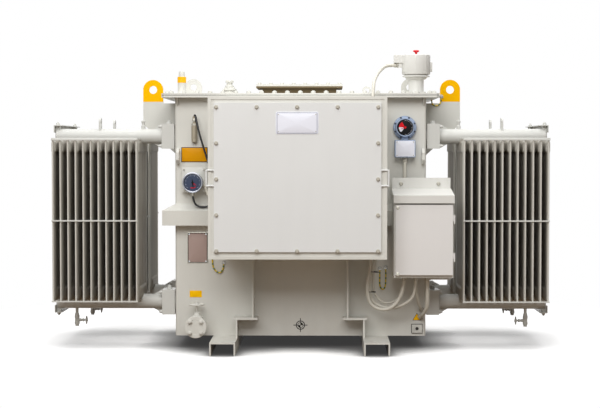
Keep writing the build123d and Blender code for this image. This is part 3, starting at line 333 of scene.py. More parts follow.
# A darker brownish metal, used on the thermometer well.
darker_well_metal = metal("darker_well_finish", srgb(172, 162, 142), roughness=0.5, shine=0.2)
bezel_metal = metal("bezel_metal", srgb(176, 178, 186), roughness=0.24, worn=0.08)
zinc = metal("zinc_plated_steel", srgb(186, 182, 170), roughness=0.36)
conduit_skin = plastic("ribbed_conduit", srgb(214, 210, 198), roughness=0.5, ribs=0.006, shade=0.85)
gland_plastic = plastic("gland_plastic", srgb(190, 186, 174), roughness=0.5)
black_sleeve = plastic("black_sleeve", srgb(18, 18, 21), roughness=0.45)
black_enamel = printed("black_dial", srgb(8, 8, 9), roughness=0.35)
slate_enamel = printed("slate_dial", srgb(66, 76, 100), roughness=0.28)
pale_enamel = printed("pale_enamel", srgb(164, 172, 188), roughness=0.3)
white_enamel = printed("white_enamel", srgb(232, 234, 244), roughness=0.3)
red_enamel = printed("red_enamel", srgb(214, 22, 34), roughness=0.3)
amber_plate = printed("amber_plate", srgb(218, 150, 0), stain=0.04)
yellow_label = printed("yellow_label", srgb(255, 196, 0), stain=0.04)
mauve_plate = printed("etched_plate", srgb(176, 154, 147), roughness=0.42, stain=0.12)
dark_print = printed("dark_print", srgb(44, 40, 38), roughness=0.5)
earth_skin = earth_wire("earth_wire")


def unit(vector):
    """A vector of length 1."""
    vector = np.asarray(vector, float)
    return vector / np.linalg.norm(vector)


def across(axis):
    """Two directions square to an axis: sideways, and up or back."""
    axis = unit(axis)
    reference = np.array(UP) if abs(axis[2]) < 0.9 else np.array((0.0, -1.0, 0.0))
    side = unit(np.cross(reference, axis))
    return side, np.cross(axis, side)


def mm(numbers):
    """Millimetres as metres."""
    return np.array(numbers) / 1000.0


def circle_turns(count, start=0.0):
    """Angles spread evenly round a circle."""
    return np.linspace(0, 2 * np.pi, count, endpoint=False) + start


def round_places(centre, first, second, radius, count, start):
    """Places on a circle: place i is centre + r * (cos t_i * first + sin t_i * second)."""
    turn = circle_turns(count, start)[:, None]
    return np.asarray(centre) + radius * (np.cos(turn) * first + np.sin(turn) * second)


def four_places(centre, xs, zs):
    """The corners of a rectangle in X and Z about a centre."""
    return np.asarray(centre) + [(x, 0.0, z) for x in xs for z in zs]


class Shape:
    """Points with the quads and triangles between them; along is each point's distance along a cord."""

    def __init__(self, points, quads, triangles=None, along=None):
        self.points = np.asarray(points, float).reshape(-1, 3)
        self.quads = np.asarray(quads, int).reshape(-1, 4)
        empty = np.zeros((0, 3), int)
        self.triangles = empty if triangles is None else np.asarray(triangles, int).reshape(-1, 3)
        self.along = np.zeros(len(self.points)) if along is None else along

    def mirrored(self, x=1, y=1):
        """The same shape on the other side of the middle, in X, in Y or in both."""
        return Shape(self.points * (x, y, 1), self.quads, self.triangles, self.along)

    def copies(self, places):
        """Copies of the shape at many places: point (k, i) is place_k + point_i."""
        places = np.asarray(places, float).reshape(-1, 3)
        points = places[:, None, :] + self.points
        step = (np.arange(len(places)) * len(self.points))[:, None, None]
        return Shape(points, self.quads + step, self.triangles + step,
                     np.tile(self.along, len(places)))


def joined(shapes):
    """Several shapes as one."""
    starts = np.cumsum([0] + [len(shape.points) for shape in shapes])
    return Shape(np.concatenate([shape.points for shape in shapes]),
                 np.concatenate([shape.quads + start for shape, start in zip(shapes, starts)]),
                 np.concatenate([shape.triangles + start for shape, start in zip(shapes, starts)]),
                 np.concatenate([shape.along for shape in shapes]))


def grid_shape(grid, ring=False, along=None):
    """A grid of points, row by row, with quads between neighbours. With ring, the last column
    joins the first. Points that meet are made one, and a quad that loses a corner a triangle."""
    rows, columns = grid.shape[:2]
    row = np.arange(rows - 1)[:, None] * columns
    column = np.arange(columns if ring else columns - 1)[None, :]
    following = (column + 1) % columns
    quads = np.stack([row + column, row + following, row + columns + following,
                      row + columns + column], axis=-1).reshape(-1, 4)
    points = grid.reshape(-1, 3)
    keys = np.round(points * 1e6).astype(np.int64)
    _, first, inverse = np.unique(keys, axis=0, return_index=True, return_inverse=True)
    quads = inverse.reshape(-1)[quads]
    same = quads == np.roll(quads, -1, axis=1)
    lost = same.sum(axis=1)
    cut = quads[lost == 1]
    triangles = cut[~same[lost == 1]].reshape(-1, 3)
    along = None if along is None else np.repeat(along, columns)[first]
    return Shape(points[first], quads[lost == 0], triangles, along)


def make(name, shapes, finish, body=BODY, stands_for=(), slot="grey_paint", angle=32.0):
    """One piece from its shapes: faces outwards, smooth but for edges sharper than the angle."""
    whole = joined(shapes if isinstance(shapes, list) else [shapes])
    mesh = bpy.data.meshes.new(name)
    mesh.from_pydata(whole.points.tolist(), [], whole.quads.tolist() + whole.triangles.tolist())
    steps = mesh.attributes.new("along", "FLOAT", "POINT")
    steps.data.foreach_set("value", whole.along.astype(np.float32))
    turned_out = bmesh.new()
    turned_out.from_mesh(mesh)
    bmesh.ops.recalc_face_normals(turned_out, faces=turned_out.faces)
    turned_out.to_mesh(mesh)
    turned_out.free()
    mesh.shade_smooth()
    mesh.set_sharp_from_angle(angle=math.radians(angle))
    mesh.materials.append(finish)
    piece = bpy.data.objects.new(name, mesh)
    bpy.context.scene.collection.objects.link(piece)
    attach(piece, body)
    if stands_for:
        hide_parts(*stands_for)
    return piece


gauge = functools.partial(make, slot="gauge_metal")
boxed = functools.partial(make, slot="pale_paint")


def turned(profile, centre, axis, segments=48):
    """A turned shape. Profile point i has radius r and height h, and point (i, j) of the surface
    is centre + h * axis + r * (cos t_j * side + sin t_j * up)."""
    profile = np.asarray(profile, float)
    side, up = across(axis)
    turn = circle_turns(segments)[:, None]
    circle = np.cos(turn) * side + np.sin(turn) * up
    grid = np.asarray(centre, float) + profile[:, 1, None, None] * unit(axis) \
        + profile[:, 0, None, None] * circle
    return grid_shape(grid, ring=True)


def disc(radius, height, edge=0.001):
    """The profile of a closed disc or short bar with rounded edges: quarter circles of the edge."""
    turn = np.linspace(0, np.pi / 2, 4)
    top = np.stack([radius - edge + edge * np.cos(turn), height - edge + edge * np.sin(turn)], axis=-1)
    bottom = np.stack([radius - edge + edge * np.sin(turn), edge - edge * np.cos(turn)], axis=-1)
    return np.concatenate([[(0, 0)], bottom, top, [(0, height)]])


def rectangle(width, height, corner, steps=4):
    """A rounded rectangle: four quarter circles about its inner corners."""
    turn = np.arange(4)[:, None] * np.pi / 2 + np.linspace(0, np.pi / 2, steps)
    signs = np.array([(1, 1), (-1, 1), (-1, -1), (1, -1)])
    middle = signs * (width / 2 - corner, height / 2 - corner)
    points = middle[:, None, :] + corner * np.stack([np.cos(turn), np.sin(turn)], axis=-1)
    return points.reshape(-1, 2)


def polygon(sides, flats, start=0.0):
    """A regular polygon of a size across its flats."""
    turn = circle_turns(sides, start)
    return flats / 2 / math.cos(math.pi / sides) * np.stack([np.cos(turn), np.sin(turn)], axis=-1)


def stacked(rings, centre, axis):
    """Outlines stacked along an axis and closed on their middles: point (i, j) of the surface is
    centre + h_i * axis + x_ij * side + y_ij * up."""
    side, up = across(axis)
    outlines = np.stack([outline for outline, _ in rings])
    heights = np.array([height for _, height in rings])
    first = np.broadcast_to(outlines[:1].mean(axis=1, keepdims=True), outlines[:1].shape)
    last = np.broadcast_to(outlines[-1:].mean(axis=1, keepdims=True), outlines[:1].shape)
    outlines = np.concatenate([first, outlines, last])
    heights = np.concatenate([heights[:1], heights, heights[-1:]])
    grid = np.asarray(centre, float) + heights[:, None, None] * unit(axis) \
        + outlines[:, :, :1] * side + outlines[:, :, 1:] * up
    return grid_shape(grid, ring=True)


def plate(centre, axis, width, height, thickness, corner=0.004, edge=0.001):
    """A flat plate with rounded corners and a small round along its front edge."""
    corner = max(corner, edge * 1.2)
    outline = rectangle(width, height, corner)
    rings = [(outline, 0.0), (outline, thickness - edge)]
    for inward, below in ((0.3 * edge, 0.3 * edge), (edge, 0.0)):
        inner = rectangle(width - 2 * inward, height - 2 * inward, corner - inward)
        rings.append((inner, thickness - below))
    return stacked(rings, centre, axis)


def bar(width, height, corner, length, centre, axis, bevel=0.0):
    """A bar with a rounded rectangle for its section, whose far end may narrow by 4 mm."""
    outline = rectangle(width, height, corner)
    rings = [(outline, 0.0), (outline, length)]
    if bevel:
        rings.append((rectangle(width - 0.004, height - 0.004, corner - 0.001), length + bevel))
    return stacked(rings, centre, axis)


def hexagon(flats, height, centre, axis):
    """A plain nut."""
    return stacked([(polygon(6, flats), 0.0), (polygon(6, flats), height)], centre, axis)


def bolts(places, axis, flats=0.024, height=0.01, washer=True, stud=0.0):
    """Hexagon heads with a round washer at many places: a chamfered prism on a thin disc."""
    origin = (0.0, 0.0, 0.0)
    base = 0.0025 if washer else 0.0
    top = base + height
    head = [(polygon(6, flats), base), (polygon(6, flats), top - flats * 0.07),
            (polygon(6, flats * 0.88), top)]
    shapes = [stacked(head, origin, axis)]
    if washer:
        shapes.append(turned(disc(flats * 0.66, base, 0.0005), origin, axis, 14))
    if stud:
        shapes.append(turned(disc(flats * 0.32, top + stud, 0.001), origin, axis, 10))
    return joined(shapes).copies(places)


def smooth_route(points):
    """Places along the smooth curve that a list of guide points makes."""
    curve = bpy.data.curves.new("route", "CURVE")
    curve.dimensions = "3D"
    curve.resolution_u = 10
    spline = curve.splines.new("NURBS")
    spline.points.add(len(points) - 1)
    spline.points.foreach_set("co", np.column_stack([points, np.ones(len(points))]).ravel())
    spline.order_u = 3
    spline.use_endpoint_u = True
    holder = bpy.data.objects.new("route", curve)
    line = bpy.data.meshes.new_from_object(holder)
    places = np.empty(len(line.vertices) * 3)
    line.vertices.foreach_get("co", places)
    bpy.data.objects.remove(holder)
    bpy.data.curves.remove(curve)
    bpy.data.meshes.remove(line)
    return places.reshape(-1, 3)


def tube(route, radius, sides=14):
    """A tube along a route: point (i, j) is route_i + r * (cos t_j * side_i + sin t_j * up_i),
    with side and up square to the route there. Its ends close on the route."""
    route = np.asarray(route, float)
    heading = np.gradient(route, axis=0)
    heading /= np.linalg.norm(heading, axis=1, keepdims=True)
    flat = np.linalg.svd(heading)[2][-1]
    side = np.cross(np.broadcast_to(flat, heading.shape), heading)
    side /= np.linalg.norm(side, axis=1, keepdims=True)
    up = np.cross(heading, side)
    turn = circle_turns(sides)
    radii = np.full(len(route), radius)
    reach = np.concatenate([[0.0], radii, [0.0]])[:, None, None]
    steps = np.concatenate([[0.0], np.cumsum(np.linalg.norm(np.diff(route, axis=0), axis=1))])
    order = np.concatenate([[0], np.arange(len(route)), [len(route) - 1]])
    circle = np.cos(turn)[None, :, None] * side[order][:, None, :] \
        + np.sin(turn)[None, :, None] * up[order][:, None, :]
    return grid_shape(route[order][:, None, :] + reach * circle, ring=True, along=steps[order])


def rod(start, end, radius, sides=12):
    """A straight round rod with closed ends."""
    start, end = np.asarray(start, float), np.asarray(end, float)
    return turned(disc(radius, np.linalg.norm(end - start), radius * 0.12), start, end - start, sides)


def hoop(centre, axis, radius, wire, segments=40, sides=12):
    """A ring: point (i, j) is centre + (R + r cos v_j) * (cos u_i side + sin u_i up) + r sin v_j axis."""
    side, up = across(axis)
    u = np.linspace(0, 2 * np.pi, segments + 1)[:, None, None]
    v = circle_turns(sides)[None, :, None]
    grid = np.asarray(centre, float) \
        + (radius + wire * np.cos(v)) * (np.cos(u) * side + np.sin(u) * up) \
        + wire * np.sin(v) * unit(axis)
    return grid_shape(grid, ring=True)


def hand_wheel(centre, axis, radius, wire, hub, spokes=4):
    """A hand wheel: a ring, a turned hub and spokes that reach from one to the other."""
    side, up = across(axis)
    centre = np.asarray(centre, float)
    shapes = [hoop(centre, axis, radius - wire, wire)]
    shapes.append(turned(disc(hub, hub * 1.8, hub * 0.2), centre - unit(axis) * hub * 0.9, axis, 20))
    for number in range(spokes):
        turn = 2 * math.pi / spokes * number
        way = math.cos(turn) * side + math.sin(turn) * up
        shapes.append(rod(centre + way * hub * 0.6, centre + way * (radius - wire), wire * 0.7, 10))
    return shapes


BOX_FACES = np.array([(0, 3, 2, 1), (4, 5, 6, 7), (0, 1, 5, 4), (1, 2, 6, 5), (2, 3, 7, 6), (3, 0, 4, 7)])


def marks(centre, axis, inner, outer, width, height, angles):
    """The marks of a dial: at each angle a thin bar from the inner to the outer radius. Corner
    (k, i, j) is centre + r_i * way_k + w_j * (axis x way_k), raised by height."""
    side, up = across(axis)
    angles = np.asarray(angles, float)[:, None]
    way = np.cos(angles) * side + np.sin(angles) * up
    cross = np.cross(unit(axis), way)
    radius = np.array((inner, outer, outer, inner))[None, :, None]
    offset = np.array((-1, -1, 1, 1))[None, :, None] * width / 2
    flat = np.asarray(centre, float) + radius * way[:, None, :] + offset * cross[:, None, :]
    points = np.concatenate([flat, flat + unit(axis) * height], axis=1)
    step = (np.arange(len(angles)) * 8)[:, None, None]
    return Shape(points, BOX_FACES + step)


def sector(centre, axis, inner, outer, start, end, height, steps=14):
    """A raised sector of a ring, closed: the outline runs out along one arc and back on the other."""
    side, up = across(axis)
    turn = np.linspace(start, end, steps)
    radii = np.array((inner, outer, outer, inner, inner))[:, None, None]
    lift = np.array((0.0, 0.0, height, height, 0.0))[:, None, None]
    way = (np.cos(turn)[:, None] * side + np.sin(turn)[:, None] * up)[None]
    strip = grid_shape(np.asarray(centre, float) + radii * way + lift * unit(axis))
    ends = np.asarray(centre, float) + radii[:4] * way[:, [0, -1]] + lift[:4] * unit(axis)
    caps = Shape(ends.transpose(1, 0, 2), [(0, 1, 2, 3), (4, 5, 6, 7)])
    return joined([strip, caps])


def needle(centre, axis, angle, length, tail, width, height):
    """A pointer: a flat lozenge that runs from its tail through the middle to its tip."""
    side, up = across(axis)
    way = math.cos(angle) * side + math.sin(angle) * up
    cross = np.cross(unit(axis), way)
    centre = np.asarray(centre, float)
    corners = np.array([centre - tail * way, centre + width / 2 * cross, centre + length * way,
                        centre - width / 2 * cross])
    points = np.concatenate([corners, corners + unit(axis) * height])
    return Shape(points, BOX_FACES)


def frame_places(x0, x1, z0, z1, columns, rows):
    """Places round a rectangle: columns along the top and bottom, rows up the sides."""
    xs = np.linspace(x0, x1, columns)
    zs = np.linspace(z0, z1, rows)[1:-1]
    level = [(x, z) for z in (z0, z1) for x in xs]
    upright = [(x, z) for x in (x0, x1) for z in zs]
    return np.array(level + upright)


def dress_cad():
    """A finish on every node that keeps its own shape."""
    by_node = {
        "cover_gasket": gasket_rubber, "earth_pad": bare_steel, "inspection_neck": neck_shade_paint,
        "control_box_door": door_paint, "control_box_hood": pale_paint,
        "control_box_body": pale_paint, "control_box_frame": pale_paint,
        "lv_box_cover": cover_paint, "hv_box_cover": cover_paint,
        "lifting_lug_left": lug_paint, "lifting_lug_right": lug_paint,
    }
    for name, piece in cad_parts.items():
        finish = by_node.get(name, grey_paint)
        if name.startswith("radiator"):
            finish = radiator_paint
        piece.data.materials.clear()
        piece.data.materials.append(finish)


# Sizes of a pressed panel: halves of its thickness, and the height of the heads at its ends
PANEL_COUNT = 12
PANEL_INSET = 0.005
FLUTES = 4
SEAM_HALF = 0.0016
EDGE_HALF = 0.0044
FLUTE_HALF = 0.006
HEAD_HALF = 0.013
HEAD_HEIGHT = 0.086


def smooth(value):
    """A value from 0 to 1 that leaves both ends softly: 3 t^2 - 2 t^3."""
    held = np.clip(value, 0, 1)
    return held * held * (3 - 2 * held)


def radiator_panel(width, height):
    """A pressed panel about its own middle. Half its thickness is the seam's, plus a bulge that
    follows the sine of the place across each flute and is held flat near its crown. Over both
    heads the bulge is whole and stands prouder. Each edge is a round bead: a half circle."""
    flute = np.linspace(0, 1, 11)
    places = (np.arange(FLUTES)[:, None] + flute[None, :-1]).ravel() / FLUTES
    rounds = 1 - np.cos(np.linspace(0, np.pi / 2, 5))
    steps = EDGE_HALF + np.array((0.004, 0.008, 0.013, 0.02, 0.028, 0.04))
    edge = np.concatenate([EDGE_HALF * rounds, steps]) / width
    places = places[(places > edge[-1] * 1.2) & (places < 1 - edge[-1] * 1.2)]
    places = np.concatenate([edge, places, 1 - edge[::-1]])
    steps = (0.009, 0.014, 0.02, 0.028, 0.045, 0.06, 0.072, 0.076, 0.081, 0.086, 0.1, 0.3)
    levels = np.concatenate([EDGE_HALF * rounds, steps]) / height
    levels = np.concatenate([levels, (0.5,), 1 - levels[::-1]])
    u, v = np.meshgrid(places, levels)
    y = (u - 0.5) * width
    z = (v - 0.5) * height
    from_side = width / 2 - np.abs(y)
    from_end = height / 2 - np.abs(z)
    crown = smooth(np.abs(np.sin(np.pi * u * FLUTES)) * 2.4)
    head = smooth((HEAD_HEIGHT - from_end) / 0.014)
    inside = smooth((from_side - EDGE_HALF) / 0.018) * smooth((from_end - 0.006) / 0.016)
    head = head * smooth((from_side - np.where(z > 0, 0.014, 0.085)) / 0.03)
    bulge = np.maximum(crown * (FLUTE_HALF - SEAM_HALF), head * (HEAD_HALF - SEAM_HALF))
    bead = np.sqrt(1 - (1 - np.clip(np.minimum(from_side, from_end) / EDGE_HALF, 0, 1)) ** 2)
    half = np.where(np.minimum(from_side, from_end) < 0.007, EDGE_HALF * bead,
                    SEAM_HALF + (EDGE_HALF - SEAM_HALF) * (1 - inside) + bulge * inside)
    front = np.stack([half, y, z], axis=-1)
    back = np.stack([-half, y, z], axis=-1)
    sheets = np.concatenate([front, back[::-1]])
    return grid_shape(np.concatenate([sheets, sheets[:1]]))


def panel_columns(end, side):
    """The box of a radiator's panels, and the middle of each panel in X."""
    low, high = np.array(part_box(f"radiator_panels_{end}_{side}"))
    return low, high, np.linspace(low[0] + PANEL_INSET, high[0] - PANEL_INSET, PANEL_COUNT)


def radiators():
    """Four radiators: fluted panels, and headers with their eye, plug, feet and drain."""
    for end, turn_y in (("front", 1), ("rear", -1)):
        for side, turn_x in (("right", 1), ("left", -1)):
            low, high, xs = panel_columns(end, side)
            middle = (low + high) / 2
            places = np.insert(np.tile(middle[1:], (PANEL_COUNT, 1)), 0, xs, axis=1)
            panel = radiator_panel(*(high - low)[1:])
            make(f"fluted_panels_{end}_{side}", panel.copies(places), panel_paint,
                 stands_for=[f"radiator_panels_{end}_{side}"], angle=50)
            headers = [shape.mirrored(turn_x, turn_y) for shape in header_shapes()]
            make(f"radiator_pipes_{end}_{side}", headers, radiator_paint,
                 stands_for=[f"radiator_headers_{end}_{side}"])
            wheel = np.array(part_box(f"radiator_drain_wheel_{end}_{side}"))
            hub = np.array([turn_x * WHEEL_X, turn_y * HEADER_Y, DRAIN_LEVEL])
            radius = (wheel[HIGH][2] - wheel[LOW][2]) / 2
            shapes = hand_wheel(hub, (turn_x, 0, 0), radius, 0.0028, 0.0085)
            shapes.append(rod(hub, hub + np.array([turn_x * 0.0117, 0, 0]), 0.004))
            make(f"drain_hand_wheel_{end}_{side}", shapes, radiator_paint,
                 body=f"drain_wheel_{end}_{side}",
                 stands_for=[f"radiator_drain_wheel_{end}_{side}"])


# The headers of the front right radiator, its drain, the feet that the braces hold, and the strip
# over the panels
HEADER_START = 0.835
HEADER_END = 1.485
HEADER_Y = -PANEL_MIDDLE
DISH_DEPTH = 0.012
DRAIN_X = 1.361
DRAIN_LEVEL = 0.155
WHEEL_X = 1.303
FOOT_X = 1.471
STRIP_LEVEL = 1.2535
STRIP_HEIGHT = 0.013
HEADER_LEVELS = (0.271, 1.271)
HEADER_RADIUS = 0.04445


def header_pipe(level):
    """A header pipe with a shallow dished end: the dish is a quarter ellipse."""
    turn = np.linspace(0, np.pi / 2, 7)
    dish = np.stack([HEADER_RADIUS * np.cos(turn),
                     HEADER_END - HEADER_START - DISH_DEPTH + DISH_DEPTH * np.sin(turn)], axis=-1)
    profile = np.concatenate([[(0, 0), (HEADER_RADIUS, 0)], dish])
    return turned(profile, (HEADER_START, HEADER_Y, level), RIGHT, 56)


def eye_plate(centre, axis, width, height, thickness, hole):
    """An eye: a ring of points round the hole joined to the rounded outline, on both faces."""
    side, up = across(axis)
    turn = circle_turns(32)
    inner = hole * np.stack([np.cos(turn), np.sin(turn)], axis=-1)
    scale = 1 / np.maximum(np.abs(np.cos(turn)) / (width / 2), np.abs(np.sin(turn)) / (width / 2))
    reach = np.minimum(scale, width / 2 * 1.12)
    outer = reach[:, None] * np.stack([np.cos(turn), np.sin(turn)], axis=-1)
    outer[:, 1] = np.where(outer[:, 1] < -width * 0.2, -height, outer[:, 1])
    outlines = np.stack([inner, outer, outer, inner, inner])
    lift = np.array((0, 0, 1, 1, 0))[:, None, None] * thickness
    grid = np.asarray(centre, float) + lift * unit(axis) \
        + outlines[..., :1] * side + outlines[..., 1:] * up
    return grid_shape(grid, ring=True)


def header_shapes():
    """Both headers of the front right radiator, and what is welded to them."""
    low, high = HEADER_LEVELS
    eye = (1.2075, HEADER_Y, high + HEADER_RADIUS + 0.036)
    shapes = [header_pipe(low), header_pipe(high), eye_plate(eye, RIGHT, 0.06, 0.05, 0.012, 0.014)]
    plug = (0.953, HEADER_Y, high + HEADER_RADIUS - 0.004)
    shapes.append(turned(mm([(0, 0), (13, 0), (13, 22), (9, 26), (9, 40), (12.5, 42), (12.5, 52),
                             (10, 55), (0, 55)]), plug, UP, 24))
    for level, way in ((low, DOWN), (high, UP)):
        shapes.append(bar(0.028, 0.028, 0.003, HEADER_RADIUS + 0.018, (FOOT_X, HEADER_Y, level), way))
    drain = (DRAIN_X, HEADER_Y, low - HEADER_RADIUS + 0.002)
    profile = mm([(0, 0), (9, 0), (9, 30), (12.5, 33), (12.5, 44), (15, 46), (15, 60), (13, 63),
                  (13, 80), (15, 83), (15, 98), (11, 101), (11, 110.5), (0, 110.5)])
    shapes.append(turned(profile, drain, DOWN, 24))
    stem = (DRAIN_X, HEADER_Y, DRAIN_LEVEL)
    profile = mm([(0, 0), (9.5, 0), (9.5, 22), (7.5, 24), (7.5, 34), (9.5, 35), (9.5, 43), (5, 46),
                  (0, 46)])
    shapes.append(turned(profile, stem, LEFT, 20))
    return shapes


def rim_bolts():
    """The bolts round the cover."""
    inset, corner = 0.03, 0.028
    x0, y0 = cover[LOW][:2] + inset
    x1, y1 = cover[HIGH][:2] - inset
    xs = np.linspace(x0 + corner, x1 - corner, 21)
    ys = np.linspace(y0 + corner, y1 - corner, 13)
    places = [(x, y) for x in xs for y in (y0, y1)] + [(x, y) for y in ys for x in (x0, x1)]
    make("cover_bolts", bolts(np.insert(places, 2, cover_top, axis=1), UP, stud=0.004), grey_paint)


def box_bolts():
    """The bolts of both cable box covers, and those round the inspection cover."""
    low, high = 0.6165, 1.432
    half = hv_cover[HIGH][0] - 0.063
    for name, left, right, columns, y, way in (
            ("front_cover_bolts", -0.47, 0.446, 5, lv_cover[LOW][1], FRONT),
            ("rear_cover_bolts", -half, half, 4, hv_cover[HIGH][1], BACK)):
        places = np.insert(frame_places(left, right, low, high, columns, 5), 1, y, axis=1)
        make(name, bolts(places, way, flats=0.018, height=0.009), bolt_paint)
    inset = 0.019
    x0, y0, _ = hatch[LOW] + inset
    x1, y1, top = hatch[HIGH] - (inset, inset, 0.0)
    places = np.insert(frame_places(x0, x1, y0, y1, 8, 6), 2, top, axis=1)
    make("hatch_bolts", bolts(places, UP, flats=0.019, height=0.008), grey_paint)


def relief_valve():
    """The pressure relief valve: turned body and hood, ribs, switch box, elbow and red button."""
    x, y = 0.697, -0.3
    base = (x, y, cover_top)
    body = mm([(0, 0), (60, 0), (60, 4), (49, 8), (46, 16), (46, 84), (50, 88), (58, 90), (66, 101),
               (66, 103), (82, 104), (82, 111), (70, 113), (70, 119), (0, 119)])
    hood_profile = mm([(0, 119), (83.5, 119), (84.5, 121), (84.5, 230), (83.5, 234), (80, 237),
                       (20, 239), (0, 239)])
    shapes = [turned(body, base, UP, 64), turned(hood_profile, base, UP, 72)]
    hood_middle = cover_top + 0.1785
    for number in range(8):
        turn = -math.pi / 2 - 0.1 + 2 * math.pi / 8 * number
        way = np.array([math.cos(turn), math.sin(turn), 0.0])
        rib = (x, y, hood_middle) + way * 0.08
        shapes.append(plate(rib, way, 0.009, 0.108, 0.0055, 0.002, 0.0015))
    top = cover_top + 0.239
    shapes.append(bar(0.06, 0.044, 0.004, 0.046, (x - 0.1045, y, top - 0.05), UP, bevel=0.003))
    shapes.append(bar(0.026, 0.026, 0.006, 0.029, (x - 0.0955, y, top - 0.0785), UP))
    shapes.append(stacked([(rectangle(0.016, 0.06, 0.003), 0.0), (rectangle(0.014, 0.056, 0.003), 0.02)],
                          (x + 0.078, y, top - 0.075), RIGHT))
    make("relief_valve_body", shapes, pale_paint, stands_for=["relief_valve"], slot="pale_paint")
    places = round_places((x, y, cover_top + 0.0055), RIGHT, BACK, 0.053, 8, 0.2)
    make("relief_valve_bolts", bolts(places, UP, flats=0.014, height=0.007), grey_paint)
    button = mm([(0, 0), (6, 0), (6, 12), (12, 14), (19.5, 19), (19.5, 22.5), (15, 26.2), (0, 28)])
    make("relief_button", turned(button, (x, y, top), UP, 32), red_enamel, slot="pale_paint")


def filling_fittings():
    """The oil filling pipe and the filler fitting on the cover, with their caps."""
    band = np.array(CAP_BAND) - cover_top
    pipe = [(0, 0), (0.034, 0), (0.034, 0.005), (0.026, 0.009), (0.0245, 0.014), (0.0245, band[0]),
            (0.0262, band[0] + 0.001), (0.0262, band[1] - 0.001), (0.0245, band[1]),
            (0.019, band[1] + 0.001), (0.019, 0.128), (0.0165, 0.134), (0.012, 0.136), (0, 0.136)]
    make("oil_filling_neck", turned(pipe, (-0.715, -0.36, cover_top), UP, 40), pipe_paint,
         stands_for=["oil_filling_pipe"])
    neck = mm([(0, 0), (41.5, 0), (41.5, 21), (34, 22), (34, 28), (43, 29), (43, 37), (41.5, 39),
               (27, 40), (27, 58), (25.5, 60), (18, 61), (18, 76), (25, 77), (25, 89), (22, 92),
               (0, 92)])
    x, y = -0.44, -0.15
    make("filler_neck", turned(neck, (x, y, cover_top), UP, 36), grey_paint,
         stands_for=["filler_fitting"])
    places = round_places((x, y, cover_top + 0.0385), RIGHT, BACK, 0.034, 4, 0.78)
    make("filler_bolts", bolts(places, UP, flats=0.013, height=0.006), grey_paint)


def thermometer():
    """The pocket with its nut, and the dial thermometer on its bracket."""
    pocket = mm([(0, 0), (15.5, 0), (17, 2), (17, 97), (15, 99), (15, 111), (12, 112), (9, 116),
                 (9, 140), (10.5, 142), (10.5, 150), (6, 156), (0, 156)])
    x, y, z = -0.633, wall_front - 0.018, 1.235
    shapes = [turned(pocket, (x, y, z), UP, 32),
              plate((x, wall_front, z + 0.049), FRONT, 0.028, 0.098, 0.02, 0.003, 0.002)]
    make("thermometer_well", shapes, darker_well_metal, stands_for=["thermometer_pocket"])
    gauge("thermometer_well_nut", hexagon(0.03, 0.011, (x, y, z + 0.0995), UP), zinc)
    x, z = -0.639, 0.995
    back = wall_front - 0.029
    front = back - 0.062
    bracket = plate((x + 0.004, wall_front - 0.025, z + 0.0145), FRONT, 0.145, 0.149, 0.004, 0.003, 0.001)
    rails = [plate((x + 0.004, wall_front, z + level), FRONT, 0.121, 0.016, 0.0255, 0.002, 0.001)
             for level in (-0.04, 0.069)]
    gauge("gauge_bracket", [bracket] + rails, grey_paint)
    case = mm([(0, 0), (54, 0), (57, 3), (57, 50), (0, 50)])
    fitting = mm([(0, 0), (12, 0), (12, 10), (8, 12), (8, 23), (5, 26), (0, 26)])
    bezel = mm([(50.5, 47), (57, 47), (60.5, 49), (62, 53), (60.5, 60.5), (56, 62), (52.5, 60.5),
                (50.5, 57), (50.5, 47)])
    centre = (x, back, z)
    gauge("thermometer_bezel", turned(bezel, centre, FRONT, 72), bezel_metal, angle=60)
    gauge("thermometer_case", [turned(case, centre, FRONT, 64)], cast_metal,
          stands_for=["temperature_gauge"])
    gauge("thermometer_fitting", turned(fitting, (x, back - 0.031, z - 0.0555), DOWN, 24), zinc)
    face = (x, front + 0.0095, z)
    gauge("thermometer_dial", turned(disc(0.0504, 0.0025, 0.0004), (x, front + 0.012, z), FRONT, 64),
          slate_enamel)
    start, end = math.radians(225), math.radians(-45)
    fine = marks(face, FRONT, 0.0425, 0.0465, 0.0009, 0.0006, np.linspace(start, end, 46))
    bold = marks(face, FRONT, 0.038, 0.0465, 0.0018, 0.0007, np.linspace(start, end, 10))
    gauge("thermometer_scale", [fine, bold], pale_enamel)
    hot = sector(face, FRONT, 0.0295, 0.0345, math.radians(-112), math.radians(-58), 0.0007)
    lifted = np.array(face) - (0, 0.002, 0)
    flags = [needle(lifted, FRONT, math.radians(angle), 0.034, 0.004, 0.004, 0.0006)
             for angle in (-52, -34)]
    gauge("thermometer_limits", [hot] + flags, red_enamel)
    lifted = np.array(face) - (0, 0.0032, 0)
    hand = needle(lifted, FRONT, math.radians(-84), 0.036, 0.026, 0.01, 0.0008)
    boss = turned(disc(0.0065, 0.005, 0.001), face, FRONT, 20)
    gauge("thermometer_hand", [hand, boss], black_enamel)
    spots = four_places((x + 0.004, back, z), (-0.06, 0.06), (-0.046, 0.077))
    gauge("bracket_screws", bolts(spots, FRONT, flats=0.009, height=0.004), zinc)


